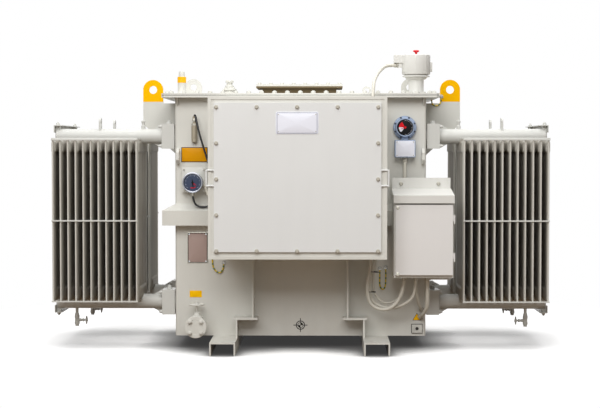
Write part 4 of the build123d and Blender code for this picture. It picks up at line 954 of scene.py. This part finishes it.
def level_gauge():
    """The oil level gauge: bolted ring, black dial with its red and white sector, and its box."""
    x, z = 0.622, 1.322
    centre = (x, wall_front, z)
    ring = mm([(0, 0), (68, 0), (69, 2), (69, 24), (66, 27), (58.5, 28), (56, 32), (56, 56),
               (54.5, 59.5), (51, 60), (48.5, 58), (48.5, 53), (0, 53)])
    link = plate((x, wall_front, z - 0.066), FRONT, 0.04, 0.024, 0.03, 0.003, 0.001)
    gauge("level_gauge_body", [turned(ring, centre, FRONT, 72), link], cast_metal,
          stands_for=["oil_level_gauge"])
    places = round_places((x, wall_front - 0.0275, z), RIGHT, UP, 0.0625, 8, np.pi / 8)
    gauge("level_gauge_bolts", bolts(places, FRONT, flats=0.0085, height=0.005), dark_steel)
    face = np.array((x, wall_front - 0.0545, z))
    gauge("level_dial", turned(disc(0.0484, 0.0018, 0.0004), (x, wall_front - 0.0528, z), FRONT, 64),
          black_enamel)
    start, between, end = np.radians((118, 178, 228))
    red = sector(face, FRONT, 0.01, 0.037, start, between, 0.0008)
    gauge("level_red_sector", red, red_enamel)
    white = [sector(face, FRONT, 0.01, 0.037, between, end, 0.0008),
             marks(face, FRONT, 0.039, 0.0445, 0.0022, 0.0008, np.radians(np.arange(90, -91, -30))),
             marks(face, FRONT, 0.041, 0.0445, 0.001, 0.0008, np.radians(np.arange(-90, 91, 7.5)))]
    gauge("level_scale", white, white_enamel)
    hand = [needle(face - (0, 0.0022, 0), FRONT, math.radians(200), 0.036, 0.01, 0.006, 0.0008),
            turned(disc(0.007, 0.004, 0.001), face, FRONT, 20)]
    gauge("level_hand", hand, red_enamel)
    middle = 1.196
    box = bar(0.123, 0.104, 0.006, 0.066, (x, wall_front, middle), FRONT, bevel=0.004)
    gauge("level_terminal_box", box, cast_metal)
    lid = plate((x, wall_front - 0.0695, middle), FRONT, 0.112, 0.093, 0.0025, 0.004, 0.001)
    gauge("level_terminal_lid", lid, white_enamel)
    spots = four_places((x, wall_front - 0.0718, middle), (-0.049, 0.049), (-0.04, 0.04))
    gauge("level_lid_screws", bolts(spots, FRONT, flats=0.006, height=0.002, washer=False), zinc)


def main_drain():
    """The main drain valve with its bolted blank flange, bonnet, gland and hand wheel."""
    x, z = -0.616, 0.144
    root = (x, wall_front, z)
    pipe = mm([(0, 0), (42, 0), (42, 6), (33, 10), (30, 16), (30, 34), (50, 35), (50, 46), (36, 48),
               (36, 52), (41, 66), (42, 78), (41, 90), (36, 104), (36, 108), (32, 110), (32, 146),
               (63, 147), (65, 149), (65, 160), (64.5, 161.5), (64.5, 163), (65, 164.5), (65, 175),
               (63, 177), (46, 177), (44, 175.5), (0, 175.5)])
    centre = (x, wall_front - 0.078, z)
    bonnet = mm([(0, 30), (34, 30), (34, 44), (36, 45), (36, 53), (24, 55), (21, 60), (17, 72), (17, 76),
                 (15, 78), (0, 78)])
    make("main_drain_body", [turned(pipe, root, FRONT, 56), turned(bonnet, centre, UP, 40)], grey_paint,
         stands_for=["main_drain_valve"])
    front, back = (round_places((x, wall_front - depth, z), RIGHT, UP, 0.0465, 4, np.pi / 4)
                   for depth in (0.177, 0.147))
    make("main_drain_bolts", [bolts(front, FRONT, flats=0.02, height=0.012, stud=0.004),
                              bolts(back, BACK, flats=0.018, height=0.01, stud=0.005)], grey_paint)
    wheel = np.array(centre) + (0, 0, 0.124)
    shapes = hand_wheel(wheel, UP, 0.047, 0.0045, 0.012, spokes=5)
    shapes.append(rod(wheel, wheel - np.array((0, 0, 0.0457)), 0.006))
    shapes.append(hexagon(0.017, 0.007, wheel + (0, 0, 0.0105), UP))
    make("main_drain_hand_wheel", shapes, grey_paint, body="main_drain_wheel_body",
         stands_for=["main_drain_wheel"])


def gland(place, axis, size):
    """A cable gland: a hexagon, a thread and a domed nut."""
    profile = [(0, 0), (size * 0.8, 0), (size * 0.8, 0.01), (size * 0.98, 0.011),
               (size * 0.98, 0.019), (size * 0.82, 0.026), (size * 0.66, 0.028), (0, 0.028)]
    return joined([turned(profile, place, axis, 20), hexagon(size * 2.05, 0.007, place, axis)])


CAPILLARY_RADIUS = 0.006
JUMPER_RADIUS = 0.0042


def cords():
    """The conduits, the capillary and the earth jumpers. Their guide points are in millimetres,
    and a conduit's radius in metres stands after its points."""
    top, end, wall = 602, 449, wall_front * 1000
    hanging = [
        ([(424, -575, top), (424, -575, 530), (390, -579, 385), (413, -584, 264),
          (530, -590, 240), (611, -600, 350), (611, -600, end)], 0.0105),
        ([(441, -545, top), (441, -545, 525), (404, -546, 385), (424, -549, 282),
          (540, -556, 246), (652, -582, 296), (680, -602, 370), (680, -602, end)], 0.009),
        ([(455, -522, top), (455, -522, 545), (436, -522, 455), (430, -523, 350),
          (492, -528, 272), (585, -540, 300), (610, -548, 375), (610, -548, end)], 0.0065),
        ([(680, -556, end), (680, -556, 385), (700, -510, 285), (724, -465, 236),
          (724, wall, 236)], 0.01),
        ([(749, -600, end), (749, -600, 370), (752, -565, 255), (720, -480, 192),
          (720, wall, 192)], 0.0115),
    ]
    others = [
        ([(588.5, -300, 1699.8), (545, -300, 1699.8), (500, -360, 1690), (447, -490, 1628),
          (427, -600, 1560), (427, -600, 1475)], 0.01),
        ([(622, -465, 1144), (622, -465, 945), (622, -473, 917), (622, -486, 906),
          (622, -502, 906)], 0.01),
        ([(-584, -490, 980), (-566.6, -490, 975.6), (-554, -493, 934),
          (-537, -497, 896), (-510, -500, 874), (-484, -500, 874)], 0.008),
    ]
    tubes = [tube(smooth_route(mm(points)), radius, 16) for points, radius in hanging + others]
    make("ribbed_conduits", tubes, conduit_skin, stands_for=["conduits"], slot="conduit_plastic", angle=60)
    glands = []
    for points, radius in hanging + others:
        for start, onward in ((points[0], points[1]), (points[-1], points[-2])):
            glands.append(gland(mm(start), mm(onward) - mm(start), radius + 0.0045))
    make("conduit_glands", glands, gland_plastic, slot="conduit_plastic")
    capillary = [(-633, -448, 1376), (-633, -448, 1390), (-629, -457, 1398),
                 (-623, -468, 1386), (-616, -474, 1350), (-602, -482, 1290),
                 (-572, -484, 1190), (-538, -479, 1085), (-527, -476, 965),
                 (-527, -478, 872), (-560, -486, 845), (-636, -490, 858),
                 (-639, -490, 920)]
    make("capillary_sleeve", tube(smooth_route(mm(capillary)), CAPILLARY_RADIUS, 14), black_sleeve,
         stands_for=["thermometer_capillary"], slot="black_plastic", angle=60)
    boot = mm([(0, 0), (10.5, 0), (11.5, 2), (11.5, 16), (9, 20), (7, 30), (0, 30)])
    make("capillary_boot", turned(boot, (-0.633, -0.448, 1.3565), UP, 24), zinc, slot="black_plastic")
    y = wall - 7
    jumpers = [
        [(476, y, 478), (474, y, 418), (476, y, 362), (503, y, 350), (513, y, 410),
         (510, y, 484)],
        [(-527, y, 590), (-529, y, 538), (-524, y, 478), (-485, y, 446), (-461, y, 474),
         (-460, y, 512)],
        [(872, -17, 1520), (871, -17, 1490), (859, -17, 1467), (834, -17, 1461),
         (812, -17, 1474), (812, -17, 1500)],
    ]
    wires = [tube(smooth_route(mm(points)), JUMPER_RADIUS, 12) for points in jumpers]
    make("earth_wires", wires, earth_skin, stands_for=["earth_jumpers"], slot="earth_cable", angle=60)
    ends = mm([(476, wall, 478), (510, wall, 484), (-527, wall, 590), (-460, wall, 512), (872, -10, 1520)])
    lugs = [bolts(ends, FRONT, flats=0.017, height=0.01, stud=0.002),
            turned(disc(0.013, 0.004, 0.0005), (0, 0, 0), FRONT, 20).copies(ends)]
    make("jumper_lugs", lugs, bare_steel, slot="earth_cable")
    ties = [hoop((0.437, -0.5625, 0.47), (0.1, 0.0, 1.0), 0.027, 0.0022),
            hoop((0.42, -0.562, 0.352), (0.05, 0.0, 1.0), 0.026, 0.0022)]
    make("conduit_ties", ties, black_sleeve, slot="conduit_plastic")


def border(centre, half, length, width, corner):
    """A line round a plate: two level bars and two upright ones."""
    x, y, z = centre
    level = [plate((x, y, z + side * half[1]), FRONT, length[0], width, 0.0008, corner, 0.0002)
             for side in (-1, 1)]
    upright = [plate((x + side * half[0], y, z), FRONT, width, length[1], 0.0008, corner, 0.0002)
               for side in (-1, 1)]
    return level + upright


def plates():
    """The bare plates and labels on the front, with their screws and borders."""
    amber = np.array((-0.634, wall_front, 1.1605))
    make("amber_plate", plate(amber, FRONT, 0.158, 0.089, 0.0022, 0.003, 0.0006), amber_plate)
    edge = border(amber - (0, 0.002, 0), (0.077, 0.0425), (0.158, 0.089), 0.004, 0.0015)
    make("amber_plate_border", edge, dark_print)
    rating = np.array((-0.616, wall_front, 0.603))
    for name, rise, finish, sizes in (
            ("rating_plate_backing", 0.0, zinc, (0.126, 0.188, 0.004, 0.003, 0.001)),
            ("rating_plate_rim", 0.0038, dark_print, (0.118, 0.18, 0.0014, 0.002, 0.0004)),
            ("rating_plate", 0.005, mauve_plate, (0.11, 0.172, 0.0012, 0.002, 0.0004))):
        make(name, plate(rating - (0, rise, 0), FRONT, *sizes), finish)
    spots = four_places(rating - (0, 0.0052, 0), (-0.05, 0.05), (-0.081, 0.081))
    make("rating_plate_screws", bolts(spots, FRONT, flats=0.01, height=0.004, washer=False), chrome)
    make("valve_label", plate((-0.6285, wall_front, 0.325), FRONT, 0.073, 0.04, 0.0014, 0.003, 0.0004),
         yellow_label)
    corners = polygon(3, 0.03, math.pi / 2)
    for name, finish, rings in (
            ("triangle_rim", dark_print, ((1.0, 0.0), (1.0, 0.001), (0.97, 0.0014))),
            ("triangle_label", yellow_label, ((0.84, 0.0), (0.84, 0.0018), (0.81, 0.0021)))):
        make(name, stacked([(corners * size, rise) for size, rise in rings], (0.6975, wall_front, 0.183),
                           FRONT), finish)
    sign = np.array((-0.012, lv_cover[LOW][1], 1.3415))
    make("blank_sign_plate", plate(sign, FRONT, 0.242, 0.125, 0.0018, 0.008, 0.0006), white_enamel)
    lifted = sign - (0, 0.0014, 0)
    edge = border(lifted, (0.113, 0.0575), (0.228, 0.116), 0.0022, 0.001)
    make("blank_sign_line", edge, slate_enamel)
    spots = four_places(lifted, (-0.106, 0.106), (-0.048, 0.048))
    rivet = turned(disc(0.003, 0.0018, 0.001), (0, 0, 0), FRONT, 14)
    make("blank_sign_rivets", rivet.copies(spots), zinc)
    mark = (0.0, wall_front, 0.138)
    quarter = math.pi / 2
    crossed = [sector(mark, FRONT, 0.0225, 0.0275, 0, 2 * math.pi, 0.001, 60),
               sector(mark, FRONT, 0.0002, 0.016, 0, quarter, 0.001),
               sector(mark, FRONT, 0.0002, 0.016, 2 * quarter, 3 * quarter, 0.001),
               sector(mark, FRONT, 0.014, 0.0166, 0, 2 * math.pi, 0.001, 48),
               marks(mark, FRONT, 0.015, 0.042, 0.0044, 0.0011, np.arange(4) * quarter)]
    make("centre_mark", crossed, dark_print)


def control_box_trim():
    """What is fixed to the control box: door catches and seal, bolts, and terminals on their rails."""
    catch = [turned(mm([(0, 0), (10, 0), (10, 2), (7.5, 3.5), (0, 3.5)]), (0, 0, 0), FRONT, 24),
             marks((0, 0, 0), FRONT, -0.006, 0.006, 0.0018, 0.0045, [0.6])]
    places = [(0.5665, door[LOW][1], level) for level in (0.854, 0.4725)]
    boxed("door_catches", joined(catch).copies(places), zinc, body="control_door")
    inset = 0.012
    x0, x1 = door[LOW][0] + inset, 0.8725
    z0, z1 = door[LOW][2] + inset, door[HIGH][2] - inset
    y = door[HIGH][1] - 0.004
    corners = [(x0, y, z0), (x1, y, z0), (x1, y, z1), (x0, y, z1)]
    sides = [rod(start, end, 0.0032, 8) for start, end in zip(corners, corners[1:] + corners[:1])]
    boxed("door_seal", sides, gasket_rubber, body="control_door")
    y = control[LOW][1] + 0.2245
    for name, right, level, flats, height in (("hanging_bolts", 0.819, 0.988, 0.017, 0.01),
                                              ("foot_bolts", 0.84, 0.433, 0.013, 0.008)):
        boxed(name, bolts([(0.598, y, level), (right, y, level)], FRONT, flats, height), zinc)
    levels = (0.6, 0.78)
    rails = [bar(0.01, 0.012, 0.002, 0.33, (0.552, -0.512, level), RIGHT) for level in levels]
    boxed("terminal_rails", rails, zinc)
    block = stacked([(rectangle(0.0075, 0.05, 0.0015), 0.0), (rectangle(0.0075, 0.044, 0.0015), 0.034)],
                    (0, 0, 0), FRONT)
    places = [(0.585 + 0.0088 * number, -0.518, level) for level in levels for number in range(30)]
    boxed("terminal_blocks", block.copies(places), gland_plastic)


def bead(start, end, radius=0.0035, count=40):
    """A weld bead: a thin tube whose radius rises and falls along its length, as the pool froze."""
    start, end = np.asarray(start, float), np.asarray(end, float)
    t = np.linspace(0, 1, count)
    length = np.linalg.norm(end - start)
    axis = unit(end - start)
    side, up = across(axis)
    pulse = radius * (0.85 + 0.15 * np.abs(np.sin(t * length / 0.007 * np.pi)))
    pulse[0] = pulse[-1] = 0.0
    turn = circle_turns(8)
    circle = np.cos(turn)[:, None] * side + np.sin(turn)[:, None] * up
    grid = start + (t * length)[:, None, None] * axis + pulse[:, None, None] * circle
    return grid_shape(grid, ring=True)


def welds():
    """Weld beads at the lugs, the rim, the belt, the jacking brackets and the radiators."""
    x = tank[HIGH][0]
    signs = (-1, 1)
    lines = [((sign * x, y, 1.13), (sign * x, y, 1.479), 0.004, 100) for sign in signs
             for y in (-0.01, 0.01)]
    lines += [((-x + 0.01, sign * wall_front, rim_bottom), (x - 0.01, sign * wall_front, rim_bottom),
               0.004, 300) for sign in signs]
    lines += [((sign * x, -0.42, rim_bottom), (sign * x, 0.42, rim_bottom), 0.004, 200) for sign in signs]
    lines += [((start, wall_front, level), (end, wall_front, level), 0.0035, 80)
              for level in (0.739, 0.865) for start, end in ((-x, -0.5), (0.48, x))]
    lines += [((sign * edge, wall_front, 0.196), (sign * edge, wall_front, 0.566), 0.003, 90)
              for edge in (0.276, 0.286) for sign in signs]
    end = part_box("cover_lugs")[HIGH][0]
    lines += [((sign * (end - 0.104), y, cover_top), (sign * end, y, cover_top), 0.004, 40)
              for sign in signs for y in (-0.008, 0.008)]
    make("weld_beads", [bead(*line) for line in lines], grey_paint, angle=70)
    rings = []
    for level in HEADER_LEVELS:
        base = hoop((HEADER_START, HEADER_Y, level), RIGHT, HEADER_RADIUS + 0.001, 0.0035, 48, 8)
        rings += [base.mirrored(sx, sy) for sx in signs for sy in signs]
    xs = panel_columns("front", "right")[-1]
    arc = np.linspace(math.radians(12), math.radians(168), 18)
    radius = HEADER_RADIUS + 0.0012
    saddles = []
    for level, turn in ((HEADER_LEVELS[1], -1), (HEADER_LEVELS[0], 1)):
        for side in signs:
            route = np.column_stack([np.full(len(arc), side * 0.0055), HEADER_Y + radius * np.cos(arc),
                                     level + turn * radius * np.sin(arc)])
            saddles.append(tube(route, 0.0028, 8).copies(np.column_stack([xs, xs * 0, xs * 0])))
    for side, sx in (("right", 1), ("left", -1)):
        for end, sy in (("front", 1), ("rear", -1)):
            make(f"panel_welds_{end}_{side}", [shape.mirrored(sx, sy) for shape in saddles],
                 radiator_paint, angle=70)
    make("header_welds", rings, radiator_paint, angle=70)


def radiator_hardware():
    """Nuts on the brace feet, studs and caps of the radiator valves, and strips over the panels."""
    quarters = [(sx, sy) for sx in (-1, 1) for sy in (-1, 1)]
    for name, level, way in (("brace_bolts", 1.3385, UP), ("brace_nuts", 0.2036, DOWN)):
        spots = [(sx * FOOT_X, sy * PANEL_MIDDLE, level) for sx, sy in quarters]
        make(name, bolts(spots, way, flats=0.019, height=0.01, stud=0.006), radiator_paint)
    shapes = []
    for sx, sy in quarters:
        for level in HEADER_LEVELS:
            outer = [(sx * HEADER_START, sy * HEADER_Y + dy, level + dz) for dy in (-0.058, 0.058)
                     for dz in (-0.058, 0.058)]
            shapes.append(bolts(outer, (sx, 0, 0), flats=0.019, height=0.012, stud=0.006))
            cap = mm([(0, 0), (16, 0), (16, 10), (11, 14), (11, 22), (0, 22)])
            shapes.append(turned(cap, (sx * 0.797, sy * HEADER_Y, level + 0.075), UP, 20))
    make("valve_studs", shapes, radiator_paint)
    for end, sy in (("front", -1), ("rear", 1)):
        for side in ("left", "right"):
            low, high, _ = panel_columns(end, side)
            strip = plate(((low[0] + high[0]) / 2, sy * (PANEL_MIDDLE + PANEL_REACH - 0.003), STRIP_LEVEL),
                          (0, sy, 0), high[0] - low[0] + 0.004, STRIP_HEIGHT, 0.0055, 0.002, 0.001)
            make(f"panel_top_strip_{end}_{side}", strip, radiator_paint)


def base_hardware():
    """The earthing pad's washer, a flat dark disc for its hole and a dark rim round the pad: the disc and
    the rim are painted shade.
    """
    low, high = np.array(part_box("earth_pad"))
    x, _, z = (low + high) / 2
    washer = mm([(10, 0), (15.5, 0), (15.5, 2), (10, 2), (10, 0)])
    make("earth_pad_washer", turned(washer, (x, low[1], z), FRONT, 32), bare_steel, slot="bare_steel")
    # A dark rim round the pad: painted shade along its edges.
    width, _, height = high - low + 0.006
    make("earth_pad_rim_painted_shade", plate((x, wall_front, z), FRONT, width, height, 0.004, 0.003, 0.001), dark_print)
    # A flat dark disc for the hole: painted shade inside the hole.
    make("earth_pad_hole_painted_shade", turned(disc(0.0098, 0.0012, 0.0002), (x, low[1] + 0.0004, z), FRONT, 24),
         dark_print, slot="bare_steel")


def studio():
    """A pale floor, a white surround and soft light: an even sky and three large lamps."""
    scene = bpy.context.scene
    scene.view_settings.view_transform = "Standard"
    edge = np.linspace(-FLOOR_REACH, FLOOR_REACH, 5)
    x, y = np.meshgrid(edge, edge)
    shape = grid_shape(np.stack([x, y, np.full_like(x, FLOOR_BELOW)], axis=-1))
    mesh = bpy.data.meshes.new("studio_floor")
    mesh.from_pydata(shape.points.tolist(), [], shape.quads.tolist())
    floor = bpy.data.objects.new("studio_floor", mesh)
    scene.collection.objects.link(floor)
    mesh.materials.append(floor_finish())
    world = bpy.data.worlds.new("studio")
    scene.world = world
    surround = Finish("studio_sky", world)
    level = surround.seen() * (1.0 - SKY_LEVEL) + SKY_LEVEL
    sky = surround.add("ShaderNodeBackground", inputs={"Color": (1.0, 1.0, 1.0, 1.0), "Strength": level})
    surround.add("ShaderNodeOutputWorld", inputs={"Surface": sky.outputs[0]})
    for name, place, target, width, height, power in LAMPS:
        lamp = bpy.data.lights.new(name, "AREA")
        lamp.shape = "RECTANGLE"
        lamp.size, lamp.size_y = width, height
        lamp.energy = power
        holder = bpy.data.objects.new(name, lamp)
        back = -unit(np.subtract(target, place))
        side, up = across(back)
        holder.matrix_world = matrix_from(side, up, back, place)
        scene.collection.objects.link(holder)


def floor_finish():
    """The floor: it shows white with the object's shadow, fades to plain white further off, and
    throws back only a little warm light."""
    finish = Finish("studio_floor")
    seen = finish.seen()
    # Ambient occlusion darkens the floor's shown colour and haze near the object: a painted contact shadow
    # on top of the lamps' own shadow.
    open_sky = finish.add("ShaderNodeAmbientOcclusion", {"samples": 12}, {"Distance": CONTACT_REACH})
    contact = Signal(finish, open_sky.outputs["AO"])
    contact = contact * contact * contact * (1.0 - CONTACT_LEAST) + CONTACT_LEAST
    shown = finish.mix(contact, (0.0, 0.0, 0.0, 1.0), (1.0, 1.0, 1.0, 1.0))
    colour = finish.mix(seen, FLOOR_BOUNCE, shown)
    x, y, _ = finish.axes
    distance = finish.math("SQRT", x * x + y * y)
    far = finish.clamp((distance - FADE_START) / FADE_LENGTH) * seen
    diffuse = finish.add("ShaderNodeBsdfDiffuse", inputs={"Color": colour})
    veil = seen * contact * FLOOR_HAZE
    haze = finish.add("ShaderNodeEmission", inputs={"Color": (1, 1, 1, 1), "Strength": veil})
    near = finish.add("ShaderNodeAddShader", inputs={0: diffuse.outputs[0], 1: haze.outputs[0]})
    glow = finish.add("ShaderNodeEmission", inputs={"Color": (1, 1, 1, 1)})
    both = finish.add("ShaderNodeMixShader", inputs={0: far, 1: near.outputs[0], 2: glow.outputs[0]})
    finish.add("ShaderNodeOutputMaterial", inputs={"Surface": both.outputs[0]})
    return finish.material


def matrix_from(side, up, back, place):
    """The matrix that puts an object's own axes on three directions at a place."""
    rows = np.eye(4)
    rows[:3] = np.column_stack([side, up, back, place])
    return Matrix(rows.tolist())


# The camera: focal length and film width in millimetres, place, and turn about X and Z in degrees
FOCAL_LENGTH = 92.0
FILM_WIDTH = 36.0
CAMERA_PLACE = (0.1286, -9.6, 1.2)
CAMERA_TILT = 87.91
CAMERA_TURN = 0.82


def camera():
    """The camera, a little right of the middle and above half height, looking slightly down."""
    lens = bpy.data.cameras.new("camera")
    lens.lens = FOCAL_LENGTH
    lens.sensor_width = FILM_WIDTH
    holder = bpy.data.objects.new("camera", lens)
    holder.location = CAMERA_PLACE
    holder.rotation_euler = (math.radians(CAMERA_TILT), 0.0, math.radians(CAMERA_TURN))
    bpy.context.scene.collection.objects.link(holder)
    bpy.context.scene.camera = holder


camera()
studio()
dress_cad()
radiators()
rim_bolts()
box_bolts()
relief_valve()
filling_fittings()
thermometer()
level_gauge()
main_drain()
cords()
plates()
control_box_trim()
welds()
radiator_hardware()
base_hardware()
